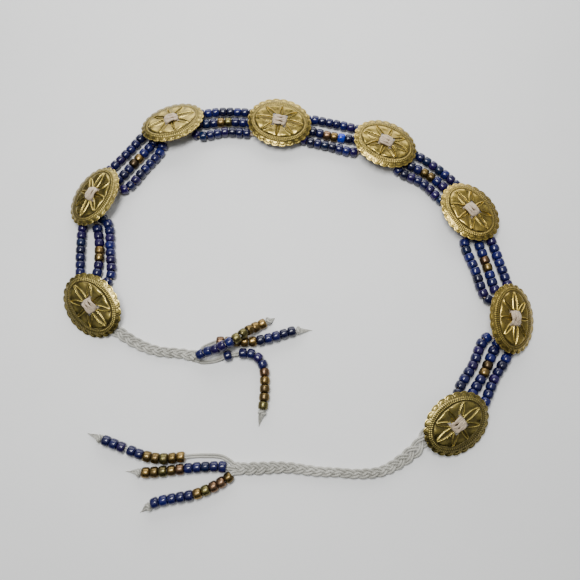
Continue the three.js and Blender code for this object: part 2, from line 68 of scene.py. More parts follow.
@dataclass
class Surface:
    """Points and faces of a piece, with the values painted on its points.

    A triangle has -1 as its fourth corner. The lay of a cord's surface is the cosine and
    sine of the angle round the cord and the distance along it.
    """

    points: Array
    faces: Array
    tint: Array | None = None
    lay: Array | None = None
    slots: Array | None = None

    @staticmethod
    def joined(parts: list["Surface"]) -> "Surface":
        """Put several surfaces together as one.

        Args:
            parts: surfaces that all carry the same painted values.

        Returns:
            One surface, with the faces' corners counted on from part to part.
        """
        starts = np.cumsum([0] + [len(part.points) for part in parts[:-1]])
        faces = [np.where(part.faces < 0, -1, part.faces + start) for part, start in zip(parts, starts)]
        first = parts[0]
        return Surface(
            np.concatenate([part.points for part in parts]),
            np.concatenate(faces),
            None if first.tint is None else np.concatenate([part.tint for part in parts]),
            None if first.lay is None else np.concatenate([part.lay for part in parts]),
            None if first.slots is None else np.concatenate([part.slots for part in parts]),
        )

    def fill(self, name: str, materials: list[bpy.types.Material]) -> bpy.types.Object:
        """Make the piece's mesh in metres and link it into the scene.

        Args:
            name: the piece's name.
            materials: its materials, in the order of the faces' slots.

        Returns:
            The piece, with its place in its mesh.
        """
        mesh = bpy.data.meshes.new(name)
        corners = self.faces[self.faces >= 0]
        sizes = (self.faces >= 0).sum(axis=1)
        mesh.vertices.add(len(self.points))
        mesh.vertices.foreach_set("co", (self.points * MM).astype(np.float32).ravel())
        mesh.loops.add(len(corners))
        mesh.loops.foreach_set("vertex_index", corners.astype(np.int32))
        mesh.polygons.add(len(self.faces))
        starts = np.cumsum(sizes) - sizes
        mesh.polygons.foreach_set("loop_start", starts.astype(np.int32))
        for material in materials:
            mesh.materials.append(material)
        if self.slots is not None:
            mesh.polygons.foreach_set("material_index", self.slots.astype(np.int32))
        mesh.polygons.foreach_set("use_smooth", np.ones(len(self.faces), dtype=bool))
        if self.tint is not None:
            tint = mesh.attributes.new("tint", "FLOAT_COLOR", "POINT")
            tint.data.foreach_set("color", self.tint.astype(np.float32).ravel())
        if self.lay is not None:
            lay = mesh.attributes.new("lay", "FLOAT_VECTOR", "POINT")
            lay.data.foreach_set("vector", self.lay.astype(np.float32).ravel())
        mesh.update(calc_edges=True)
        mesh.validate()
        piece = bpy.data.objects.new(name, mesh)
        bpy.context.scene.collection.objects.link(piece)
        log.info("%s: %d faces", name, len(mesh.polygons))
        return piece


def ring_faces(rings: int, sides: int) -> Array:
    """Quads between neighbouring rings of points, each ring closed on itself.

    Args:
        rings: how many rings follow each other.
        sides: how many points a ring has.

    Returns:
        The quads' corners, facing outwards where the ring turns about the way along.
    """
    ring = np.arange(rings - 1)[:, None] * sides
    side = np.arange(sides)[None, :]
    after = (side + 1) % sides
    corners = [ring + side, ring + after, ring + sides + after, ring + sides + side]
    return np.stack(corners, axis=-1).reshape(-1, 4)


def cap_faces(first: int, sides: int, tip: int, outward: bool) -> Array:
    """Triangles from a ring to a single tip point.

    Args:
        first: number of the ring's first point.
        sides: how many points the ring has.
        tip: number of the tip point.
        outward: True at the end of the way along, False at its start.

    Returns:
        The triangles, with -1 as fourth corner.
    """
    side = first + np.arange(sides)
    after = first + (np.arange(sides) + 1) % sides
    tips = np.full(sides, tip)
    none = np.full(sides, -1)
    order = [side, after, tips, none] if outward else [after, side, tips, none]
    return np.stack(order, axis=-1)


def unit(vectors: Array) -> Array:
    """Vectors scaled to length one along their last axis."""
    return vectors / np.linalg.norm(vectors, axis=-1, keepdims=True)


def read(items: object, key: str, kind: type, width: int = 1) -> Array:
    """Read one value of each of a mesh's elements.

    Args:
        items: the mesh's vertices, loops, faces or triangles.
        key: name of the value.
        kind: type of its numbers.
        width: how many numbers it has.

    Returns:
        The numbers, a row for each element where it has several.
    """
    values = np.empty(len(items) * width, dtype=kind)
    items.foreach_get(key, values)
    return values.reshape(-1, width) if width > 1 else values


def across(tangents: Array, reference: Array) -> tuple[Array, Array]:
    """Two directions square to each tangent.

    Args:
        tangents: unit vectors along a path.
        reference: the direction that the second result stays nearest to.

    Returns:
        Sideways and upward unit vectors: the reference less its share along the tangent,
        and the cross product of that with the tangent.
    """
    upward = unit(reference - (tangents @ reference)[..., None] * tangents)
    return np.cross(upward, tangents), upward


def tube(path: Array, radius: Array, sides: int, reference: Array = UP) -> Surface:
    """Carry a circle along a path and close both ends with a blunt tip, half a radius long.

    Each point is the path's point plus the radius times cosine sideways and sine upwards.

    Args:
        path: points of the centreline.
        radius: the radius at each point of the path.
        sides: how many points go round.
        reference: direction that the section's upward side keeps to.

    Returns:
        The closed tube, with its lay.
    """
    tangents = unit(np.gradient(path, axis=0))
    sideways, upward = across(tangents, reference)
    angle = 2 * np.pi * np.arange(sides) / sides
    reach = radius[:, None]
    rings = (
        path[:, None]
        + (reach * np.cos(angle))[..., None] * sideways[:, None]
        + (reach * np.sin(angle))[..., None] * upward[:, None]
    )
    tips = np.stack([path[0] - tangents[0] * radius[0] / 2, path[-1] + tangents[-1] * radius[-1] / 2])
    count = len(path)
    along = np.concatenate([[0.0], np.cumsum(np.linalg.norm(np.diff(path, axis=0), axis=1))])
    lay = np.stack(
        [
            np.broadcast_to(np.cos(angle), (count, sides)),
            np.broadcast_to(np.sin(angle), (count, sides)),
            np.broadcast_to(along[:, None], (count, sides)),
        ],
        axis=-1,
    )
    faces = [
        ring_faces(count, sides),
        cap_faces(0, sides, count * sides, False),
        cap_faces((count - 1) * sides, sides, count * sides + 1, True),
    ]
    ends = np.array([[0.0, 0.0, 0.0], [0.0, 0.0, along[-1]]])
    return Surface(
        np.concatenate([rings.reshape(-1, 3), tips]),
        np.concatenate(faces),
        lay=np.concatenate([lay.reshape(-1, 3), ends]),
    )


def dress(piece: bpy.types.Object, node: str) -> None:
    """Let a piece take its solid's place and body.

    Args:
        piece: the piece.
        node: name of the solid that it replaces.
    """
    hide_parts(node)
    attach(piece, BODY)


def smoothstep(low: float, high: float, value: Array) -> Array:
    """A soft rise from 0 at low to 1 at high, as 3 t squared less 2 t cubed."""
    t = np.clip((value - low) / (high - low), 0.0, 1.0)
    return t * t * (3 - 2 * t)


def bell(value: Array, width: float) -> Array:
    """A soft hump of height one round zero."""
    return np.exp(-((value / width) ** 2))


class Route:
    """A centripetal Catmull-Rom curve through points, measured along its length."""

    def __init__(self, points: Array, samples: int = 400) -> None:
        """Measure the curve.

        Args:
            points: the points that it passes through.
            samples: into how many steps it is divided to measure it.
        """
        self.points = np.asarray(points, dtype=float)
        head = 2 * self.points[0] - self.points[1]
        tail = 2 * self.points[-1] - self.points[-2]
        self.knots = np.concatenate([[head], self.points, [tail]])
        self.shares = np.linspace(0, 1, samples + 1)
        steps = np.linalg.norm(np.diff(self.point(self.shares), axis=0), axis=1)
        self.distances = np.concatenate([[0.0], np.cumsum(steps)])
        self.length = float(self.distances[-1])

    def point(self, share: Array) -> Array:
        """Points at shares of the curve's parameter.

        Each coordinate is a cubic whose slopes at the two inner knots come from the
        knots' distances to the power of a half.

        Args:
            share: shares of the parameter, from 0 at the first point to 1 at the last.

        Returns:
            A point for each share.
        """
        spans = len(self.points) - 1
        place = np.clip(share, 0, 1) * spans
        index = np.minimum(place.astype(int), spans - 1)
        w = (place - index)[:, None]
        p0, p1, p2, p3 = (self.knots[index + k] for k in range(4))
        d0, d1, d2 = (
            np.maximum(np.linalg.norm(b - a, axis=1, keepdims=True), KNOT_GAP) ** 0.5
            for a, b in ((p0, p1), (p1, p2), (p2, p3))
        )
        slope1 = ((p1 - p0) / d0 - (p2 - p0) / (d0 + d1) + (p2 - p1) / d1) * d1
        slope2 = ((p2 - p1) / d1 - (p3 - p1) / (d1 + d2) + (p3 - p2) / d2) * d1
        square = -3 * p1 + 3 * p2 - 2 * slope1 - slope2
        cube = 2 * p1 - 2 * p2 + slope1 + slope2
        return p1 + slope1 * w + square * w**2 + cube * w**3

    def at(self, distance: Array) -> Array:
        """Points at distances along the curve."""
        return self.point(np.interp(distance, self.distances, self.shares))

    def tangent(self, distance: Array) -> Array:
        """Unit vectors along the curve at distances along it."""
        share = np.interp(distance, self.distances, self.shares)
        return unit(self.point(share + 1e-4) - self.point(share - 1e-4))

    def lifted(self, heights: Array) -> "Route":
        """The same plan with heights of its own.

        Args:
            heights: the heights at this curve's stations.

        Returns:
            The curve in space.
        """
        points = self.at(self.stations())
        points[:, 2] = heights
        return Route(points)

    def stations(self, spacing: float = ROUTE_STEP) -> Array:
        """Evenly spaced distances from one end to the other."""
        return np.linspace(0, self.length, round(self.length / spacing) + 1)


# Nodes of the finishes


class Graph:
    """A node tree that is being wired, with short calls for its nodes."""

    def __init__(self, tree: bpy.types.NodeTree) -> None:
        """Start on an empty tree."""
        self.tree = tree
        tree.nodes.clear()

    def add(self, kind: str, inputs: dict | None = None, **settings: object) -> bpy.types.Node:
        """Add a node.

        Args:
            kind: the node's type name; the ShaderNode prefix may be left off.
            inputs: values or output sockets, by the input's name or number.
            settings: the node's own properties, set before its inputs.

        Returns:
            The node.
        """
        node = self.tree.nodes.new(kind if kind.startswith("Node") else "ShaderNode" + kind)
        for key, value in settings.items():
            setattr(node, key, value)
        for key, value in (inputs or {}).items():
            if isinstance(value, bpy.types.NodeSocket):
                self.tree.links.new(value, node.inputs[key])
            else:
                node.inputs[key].default_value = value
        return node

    def math(self, operation: str, *values: object, clamp: bool = False) -> bpy.types.NodeSocket:
        """The result of one sum on numbers or sockets."""
        node = self.add("Math", dict(enumerate(values)), operation=operation, use_clamp=clamp)
        return node.outputs[0]

    def plus(self, first: object, second: object, clamp: bool = False) -> bpy.types.NodeSocket:
        """The sum of two numbers or sockets, kept between 0 and 1 if asked."""
        return self.math("ADD", first, second, clamp=clamp)

    def less(self, first: object, second: object) -> bpy.types.NodeSocket:
        """The first of two numbers or sockets less the second."""
        return self.math("SUBTRACT", first, second)

    def times(self, first: object, second: object) -> bpy.types.NodeSocket:
        """The product of two numbers or sockets."""
        return self.math("MULTIPLY", first, second)

    def mix(
        self, share: object, first: object, second: object, blend: str = "MIX"
    ) -> bpy.types.NodeSocket:
        """A colour between two colours, or one multiplied by the other.

        Args:
            share: how much of the second colour is taken.
            first: the first colour.
            second: the second colour.
            blend: Blender's name for the kind of mix.

        Returns:
            The socket of the mixed colour.
        """
        inputs = {0: share, 6: first, 7: second}
        node = self.add("Mix", inputs, data_type="RGBA", blend_type=blend)
        return node.outputs[2]

    def ramp(self, value: object, source: tuple, result: tuple = (0.0, 1.0)) -> bpy.types.NodeSocket:
        """A value carried smoothly from one range to another.

        Args:
            value: the number or socket.
            source: the range that it is carried from, as numbers or sockets.
            result: the range that it is carried to.

        Returns:
            The socket of the carried value.
        """
        keys = ("From Min", "From Max", "To Min", "To Max")
        inputs = {"Value": value, **dict(zip(keys, (*source, *result)))}
        node = self.add("MapRange", inputs, interpolation_type="SMOOTHSTEP")
        return node.outputs[0]

    def bump(self, height: object, strength: float, depth: float) -> bpy.types.NodeSocket:
        """The normal of a surface roughened by a height, with a depth in metres."""
        node = self.add("Bump", {"Strength": strength, "Distance": depth, "Height": height})
        return node.outputs[0]

    def shade(self, inputs: dict) -> None:
        """Finish a material with a Principled shader that has these inputs."""
        shader = self.add("BsdfPrincipled", inputs)
        self.add("OutputMaterial", {0: shader.outputs[0]})


def uneven_group() -> bpy.types.NodeTree:
    """Node group for stains and wear: two noises of object coordinates, one coarse and
    one fine, multiplied and stretched to a mask.

    Returns:
        The group, with inputs Scale, Fine and Level and outputs Mask and Grain.
    """
    tree = bpy.data.node_groups.new("uneven", "ShaderNodeTree")
    for name, value in (("Scale", 60.0), ("Fine", 900.0), ("Level", 0.5)):
        socket = tree.interface.new_socket(name, in_out="INPUT", socket_type="NodeSocketFloat")
        socket.default_value = value
    for name in ("Mask", "Grain"):
        tree.interface.new_socket(name, in_out="OUTPUT", socket_type="NodeSocketFloat")
    graph = Graph(tree)
    source = graph.add("NodeGroupInput")
    place = graph.add("TexCoord").outputs["Object"]
    spots = {"Vector": place, "Scale": source.outputs["Scale"], "Detail": 4.0, "Roughness": 0.6}
    coarse = graph.add("TexNoise", spots).outputs[0]
    grains = {"Vector": place, "Scale": source.outputs["Fine"], "Detail": 2.0}
    fine = graph.add("TexNoise", grains).outputs[0]
    coarse_share, softness = 0.7, 0.12
    blend = graph.plus(graph.times(coarse, coarse_share), graph.times(fine, 1 - coarse_share))
    low = graph.less(source.outputs["Level"], softness)
    high = graph.plus(source.outputs["Level"], softness)
    graph.add("NodeGroupOutput", {"Mask": graph.ramp(blend, (low, high)), "Grain": fine})
    return tree


UNEVEN = uneven_group()


@dataclass(frozen=True)
class Mottle:
    """Values of the stain mask: how many coarse spots and fine grains fit in a metre, and
    how much of the surface stays clear, from 0 to 1."""

    scale: float
    fine: float
    level: float


def new_material(name: str) -> tuple[bpy.types.Material, Graph]:
    """Start a node material.

    Args:
        name: the material's name.

    Returns:
        The material and its empty graph.
    """
    material = bpy.data.materials.new(name)
    material.use_nodes = True
    return material, Graph(material.node_tree)


def uneven(graph: Graph, mottle: Mottle) -> tuple[bpy.types.NodeSocket, bpy.types.NodeSocket]:
    """Place the shared stain mask in a material with its own values.

    Args:
        graph: the material's graph.
        mottle: the values.

    Returns:
        The sockets of the mask and of the fine grain.
    """
    inputs = {"Scale": mottle.scale, "Fine": mottle.fine, "Level": mottle.level}
    node = graph.add("Group", inputs, node_tree=UNEVEN)
    return node.outputs["Mask"], node.outputs["Grain"]


@dataclass(frozen=True)
class BrassFinish:
    """Stamped brass: worn bright on its ridges, brown and olive in its hollows.

    The tint's red says how deep a point lies in the stamping, and holds painted shade on the walls
    and underside; its green says how worn it is and its blue how dark the whole concho has gone.
    """

    name: str = "antique_brass"
    bright: tuple = (0.76, 0.55, 0.11, 1)
    warm: tuple = (0.215, 0.150, 0.050, 1)
    olive: tuple = (0.112, 0.087, 0.031, 1)
    green: tuple = (0.60, 0.74, 1.1, 1)
    # Near-black of the grime in the hollows, also used as painted shade on the walls and underside
    dirt_and_shade: tuple = (0.016, 0.012, 0.004, 1)
    stain: Mottle = Mottle(90.0, 1400.0, 0.5)
    scratch: Mottle = Mottle(420.0, 3800.0, 0.52)
    wear: float = 1.15
    scratch_wear: float = 0.18
    dirt_and_shade_base: float = 0.62
    dirt_and_shade_grain: float = 0.5
    dirt_and_shade_most: float = 0.94
    dirt_and_shade_dulls: float = 0.35
    roughness: float = 0.24
    dirt_and_shade_roughness: float = 0.25
    scratch_roughness: float = 0.07
    relief: float = 0.12
    depth: float = 0.00012

    def build(self) -> bpy.types.Material:
        """Wire the material.

        Returns:
            The material.
        """
        material, graph = new_material(self.name)
        marks = graph.add("Attribute", attribute_name="tint")
        deep, wear, age = graph.add("SeparateColor", {0: marks.outputs["Color"]}).outputs
        stain, grain = uneven(graph, self.stain)
        scratch, scratch_grain = uneven(graph, self.scratch)
        body = graph.mix(stain, self.warm, self.olive)
        worn = graph.times(wear, graph.less(self.wear, grain))
        worn = graph.plus(worn, graph.times(scratch, self.scratch_wear), clamp=True)
        body = graph.mix(worn, body, self.bright)
        body = graph.mix(age, body, self.green, blend="MULTIPLY")
        # Grime in the hollows and painted shade on the walls and underside darken and dull the brass
        dirt_and_shade_mask = graph.times(deep, graph.plus(self.dirt_and_shade_base, graph.times(grain, self.dirt_and_shade_grain)))
        colour = graph.mix(graph.math("MINIMUM", dirt_and_shade_mask, self.dirt_and_shade_most), body, self.dirt_and_shade)
        rough = graph.plus(self.roughness, graph.times(dirt_and_shade_mask, self.dirt_and_shade_roughness))
        rough = graph.plus(rough, graph.times(scratch, self.scratch_roughness))
        metal = graph.less(1.0, graph.times(dirt_and_shade_mask, self.dirt_and_shade_dulls))
        normal = graph.bump(scratch_grain, self.relief, self.depth)
        graph.shade({"Base Color": colour, "Metallic": metal, "Roughness": rough, "Normal": normal})
        return material


@dataclass(frozen=True)
class GlassFinish:
    """Opaque glass beads, each in its own blue from the tint, with a fire-polished skin."""

    name: str = "blue_glass"
    deep: tuple = (0.003, 0.003, 0.016, 1)
    deepening: float = 0.55
    cloud: Mottle = Mottle(300.0, 1500.0, 0.5)
    grain_range: tuple = (0.3, 0.7)
    roughness: tuple = (0.11, 0.27)
    shine: float = 0.5
    refraction: float = 1.52
    relief: float = 0.15
    depth: float = 0.0001

    def build(self) -> bpy.types.Material:
        """Wire the material.

        Returns:
            The material.
        """
        material, graph = new_material(self.name)
        own = graph.add("Attribute", attribute_name="tint").outputs["Color"]
        cloud, grain = uneven(graph, self.cloud)
        deeper = graph.mix(self.deepening, own, self.deep)
        graph.shade(
            {
                "Base Color": graph.mix(cloud, own, deeper),
                "Roughness": graph.ramp(grain, self.grain_range, self.roughness),
                "Specular IOR Level": self.shine,
                "IOR": self.refraction,
                "Normal": graph.bump(grain, self.relief, self.depth),
            }
        )
        return material


@dataclass(frozen=True)
class LustreFinish:
    """Glass beads under a bronze lustre that has rubbed thin in places."""

    name: str = "bronze_lustre"
    rubbed: tuple = (0.055, 0.032, 0.018, 1)
    rub: Mottle = Mottle(260.0, 1700.0, 0.56)
    rub_colours: float = 0.7
    rub_dulls: float = 0.3
    grain_range: tuple = (0.3, 0.7)
    roughness: tuple = (0.22, 0.42)
    relief: float = 0.25
    depth: float = 0.00012

    def build(self) -> bpy.types.Material:
        """Wire the material.

        Returns:
            The material.
        """
        material, graph = new_material(self.name)
        own = graph.add("Attribute", attribute_name="tint").outputs["Color"]
        rub, grain = uneven(graph, self.rub)
        graph.shade(
            {
                "Base Color": graph.mix(graph.times(rub, self.rub_colours), own, self.rubbed),
                "Metallic": graph.less(1.0, graph.times(rub, self.rub_dulls)),
                "Roughness": graph.ramp(grain, self.grain_range, self.roughness),
                "Normal": graph.bump(grain, self.relief, self.depth),
            }
        )
        return material


@dataclass(frozen=True)
class CordFinish:
    """Waxed plied cord: fine plies wind round it, with painted shade in the grooves between them and soil
    in spots.
    """

    name: str
    light: tuple
    # Colour of the soil in spots and of the painted shade in the grooves between the plies
    soil_and_shade: tuple
    plies: float = 3.0
    lay_length: float = 3.2
    fibre: Mottle = Mottle(500.0, 4200.0, 0.5)
    soil: Mottle = Mottle(45.0, 600.0, 0.52)
    groove_shade: float = 0.55
    spot_soil: float = 0.35
    roundness: float = 0.6
    fibre_height: float = 0.35
    grain_range: tuple = (0.3, 0.7)
    roughness: tuple = (0.55, 0.8)
    relief: float = 0.55
    depth: float = 0.00016
    sheen: float = 0.2
    sheen_roughness: float = 0.5

    def build(self) -> bpy.types.Material:
        """Wire the material.

        The height is a rounded wave of the angle round the cord plus the distance along it,
        made from the lay's cosine and sine so that it has no seam.

        Returns:
            The material.
        """
        material, graph = new_material(self.name)
        lay = graph.add("Attribute", attribute_name="lay").outputs["Vector"]
        cosine, sine, along = graph.add("SeparateXYZ", {0: lay}).outputs
        turn = graph.times(along, 2 * math.pi / self.lay_length)
        phase = graph.times(graph.plus(graph.math("ARCTAN2", sine, cosine), turn), self.plies)
        ply = graph.math("ABSOLUTE", graph.math("SINE", graph.times(phase, 0.5)))
        _, fibre = uneven(graph, self.fibre)
        soil, grain = uneven(graph, self.soil)
        # Painted shade in the grooves between the plies, added to the soil in spots
        groove = graph.times(graph.less(1.0, ply), self.groove_shade)
        dark = graph.plus(groove, graph.times(soil, self.spot_soil), clamp=True)
        rounded = graph.math("POWER", ply, self.roundness)
        height = graph.plus(rounded, graph.times(fibre, self.fibre_height))
        graph.shade(
            {
                "Base Color": graph.mix(dark, self.light, self.soil_and_shade),
                "Roughness": graph.ramp(grain, self.grain_range, self.roughness),
                "Sheen Weight": self.sheen,
                "Sheen Roughness": self.sheen_roughness,
                "Normal": graph.bump(height, self.relief, self.depth),
            }
        )
        return material


@dataclass(frozen=True)
class TableFinish:
    """A pale matt board with the faintest mottle."""

    name: str = "pale_board"
    light: tuple = (0.88, 0.88, 0.87, 1)
    shade: tuple = (0.855, 0.857, 0.85, 1)
    mottle: Mottle = Mottle(9.0, 700.0, 0.5)
    grain_range: tuple = (0.3, 0.7)
    roughness: tuple = (0.6, 0.72)

    def build(self) -> bpy.types.Material:
        """Wire the material.

        Returns:
            The material.
        """
        material, graph = new_material(self.name)
        mottle, grain = uneven(graph, self.mottle)
        rough = graph.ramp(grain, self.grain_range, self.roughness)
        graph.shade({"Base Color": graph.mix(mottle, self.light, self.shade), "Roughness": rough})
        return material


# The belt's lay on the table, as in the solids


@dataclass(frozen=True)
class Seat:
    """Where one concho lies: its centre in the plan, the turn of its long axis, its dip and
    lean in degrees, and how dark its brass has gone."""

    x: float
    y: float
    height: float
    turn: float
    dip: float
    lean: float
    age: float

    @property
    def centre(self) -> Array:
        """The middle of the rim's plane."""
        return np.array([self.x, self.y, self.height]) - TABLE_ORIGIN

    @property
    def rotation(self) -> Array:
        """Lean about the long axis, then dip, then turn.

        Returns:
            The rotation matrix.
        """
        a, b, c = np.radians([self.lean, -self.dip, self.turn])
        lean = np.array([[1, 0, 0], [0, math.cos(a), -math.sin(a)], [0, math.sin(a), math.cos(a)]])
        dip = np.array([[math.cos(b), 0, math.sin(b)], [0, 1, 0], [-math.sin(b), 0, math.cos(b)]])
        turn = np.array([[math.cos(c), -math.sin(c), 0], [math.sin(c), math.cos(c), 0], [0, 0, 1]])
        return turn @ dip @ lean

    def place(self, points: Array) -> Array:
        """Carry points from the concho's own frame to the belt's."""
        return points @ self.rotation.T + self.centre


SEATS = [
    Seat(-132.2, -12.1, 7.383, 129.5, 7.0, -18.5, 0.5),
    Seat(-136.7, 65.9, 8.226, 66.7, 1.2, -22.0, 0.4),
    Seat(-85.5, 123.7, 7.970, 21.0, 0.6, -19.2, 0.35),
    Seat(-8.0, 123.6, 8.100, -10.9, -1.4, 2.0, 0.2),
    Seat(67.7, 106.2, 8.844, -25.2, -2.8, -6.8, 0.12),
    Seat(124.5, 54.3, 8.303, -54.7, 0.4, -5.9, 0.0),
    Seat(145.5, -21.7, 9.738, -92.1, -5.9, -23.4, 0.0),
    Seat(104.8, -88.9, 7.551, -143.2, -1.9, -16.8, 0.5),
]


@dataclass(frozen=True)
class BeadSizes:
    """Sizes that the strings share."""

    diameter: float = 6.8
    length: float = 5.25
    pitch: float = 5.35
    solid_sides: int = 10
    thread: float = 1.9
    strand_reach: float = 9.0
    strand_stub: float = 2.8
    strand_spacing: float = 3.0
    strand_drop: float = 2.0
    route_inset: float = 18.0

    @property
    def rest_height(self) -> float:
        """Height of a solid's bead over the table, on one of its flat sides."""
        return self.diameter / 2 * math.cos(math.pi / self.solid_sides)


SIZES = BeadSizes()


class Row(Enum):
    """The three rows of beads side by side, by their place left of the way along."""

    OUTER = 1
    MIDDLE = 0
    INNER = -1


@dataclass(frozen=True)
class StringRow:
    """One row of beads between two conchos.

    The three offsets lie left of the line between the conchos' centres. after says how many
    more beads the real row shows than its solid at the far end, and bright is the number
    of a bead in bright cobalt.
    """

    section: int
    row: Row
    count: int
    shift: float
    near: float
    middle: float
    far: float
    after: int = 0
    bright: int | None = None

    @property
    def node(self) -> str:
        """Name of the row's solid."""
        return f"string_{self.section}_{self.row.name.lower()}"

    def route(self) -> tuple[Route, Array]:
        """The row's route and where its beads sit on it.

        It leaves the first concho's lacing under the plate, comes down to the beads' height,
        and goes up under the next plate.

        Returns:
            The route in space, and the distances of the solid's beads' middles along it.
        """
        seats = SEATS[self.section - 1], SEATS[self.section]
        start, end = (seat.centre * [1, 1, 0] for seat in seats)
        span = float(np.linalg.norm(end - start))
        along = (end - start) / span
        left = np.array([-along[1], along[0], 0])
        inner = SIZES.strand_reach
        outer = SIZES.strand_reach + SIZES.strand_stub
        beside, below = self.row.value * SIZES.strand_spacing, -SIZES.strand_drop
        ends = [
            seat.place(np.array([reach, beside, below]))
            for seat, reaches in zip(seats, ((inner, outer), (-outer, -inner)))
            for reach in reaches
        ]
        inset = SIZES.route_inset
        distances = (inset, span / 2, span - inset)
        offsets = (self.near, self.middle, self.far)
        rows = [start + along * distance + left * offset for distance, offset in zip(distances, offsets)]
        plan = Route(np.array([ends[0], ends[1], *rows, ends[2], ends[3]]) * [1, 1, 0])
        places = (np.arange(self.count) - (self.count - 1) / 2) * SIZES.pitch
        centres = plan.length / 2 + self.shift + places
        first = centres[0] - SIZES.length / 2
        last = centres[-1] + SIZES.length / 2
        stations = plan.stations()
        rest = SIZES.rest_height
        heights = (
            rest
            + (ends[0][2] - rest) * smoothstep(0, first, first - stations)
            + (ends[3][2] - rest) * smoothstep(last, plan.length, stations)
        )
        return plan.lifted(heights), centres


ROWS = [
    StringRow(1, Row.OUTER, 8, -0.4, 9.7, 10.3, 9.2),
    StringRow(1, Row.MIDDLE, 8, -0.6, 0.1, -2.7, 0.4),
    StringRow(1, Row.INNER, 8, -1.5, -9.7, -10.1, -7.5, after=2),
    StringRow(2, Row.OUTER, 8, 1.3, 8.6, 9.3, 10.2),
    StringRow(2, Row.MIDDLE, 8, 0.8, -0.6, 0.1, 1.4),
    StringRow(2, Row.INNER, 8, -1.0, -9.3, -9.1, -6.3, after=1),
    StringRow(3, Row.OUTER, 8, 0.0, 9.0, 11.3, 9.4),
    StringRow(3, Row.MIDDLE, 8, -0.5, 1.2, 3.0, 1.9),
    StringRow(3, Row.INNER, 8, -1.3, -8.0, -5.1, -5.8),
    StringRow(4, Row.OUTER, 8, -0.3, 9.1, 10.4, 9.2),
    StringRow(4, Row.MIDDLE, 8, -0.3, 1.2, 0.1, 1.5, bright=5),
    StringRow(4, Row.INNER, 8, -1.1, -6.8, -8.0, -7.9),
    StringRow(5, Row.OUTER, 8, -0.2, 10.0, 12.7, 11.2),
    StringRow(5, Row.MIDDLE, 8, -0.1, 0.9, 4.6, 3.8),
    StringRow(5, Row.INNER, 8, 1.2, -7.0, -3.2, -4.2),
    StringRow(6, Row.OUTER, 8, -1.9, 8.6, 8.8, 7.9),
    StringRow(6, Row.MIDDLE, 8, -0.9, 0.5, -0.3, -0.6),
    StringRow(6, Row.INNER, 10, 0.0, -8.9, -9.2, -8.4),
    StringRow(7, Row.OUTER, 8, -1.3, 10.0, 9.4, 10.4),
    StringRow(7, Row.MIDDLE, 8, -1.0, 1.0, 1.9, 1.6),
    StringRow(7, Row.INNER, 8, -0.9, -7.2, -6.7, -6.6, after=1),
]


# Conchos


@dataclass(frozen=True)
class Marks:
    """How much grime each form of the stamping holds, how much painted shade the walls and underside take,
    and how bright its wear is.
    """

    petal_dirt: float = 0.26
    hatch_dirt: float = 0.16
    groove_dirt: float = 0.8
    loop_dirt: float = 0.42
    band_dirt: float = 0.85
    slots_dirt: float = 0.35
    slots_range: tuple = (0.3, 0.2)
    middle_dirt: float = 0.12
    middle_place: float = 0.45
    middle_width: float = 0.16
    clean_level: float = 0.4
    clean_share: float = 0.3
    # Painted shade on the walls and underside, which lie below the stamped face
    wall_shade: float = 0.7
    wall_range: tuple = (0.35, 0.1)
    plain_wear: float = 0.15
    ridge_wear: float = 0.95
    pillow_wear: float = 0.5
    tick_wear: float = 0.9
    cushion_wear: float = 0.5
    rim_wear: float = 0.6


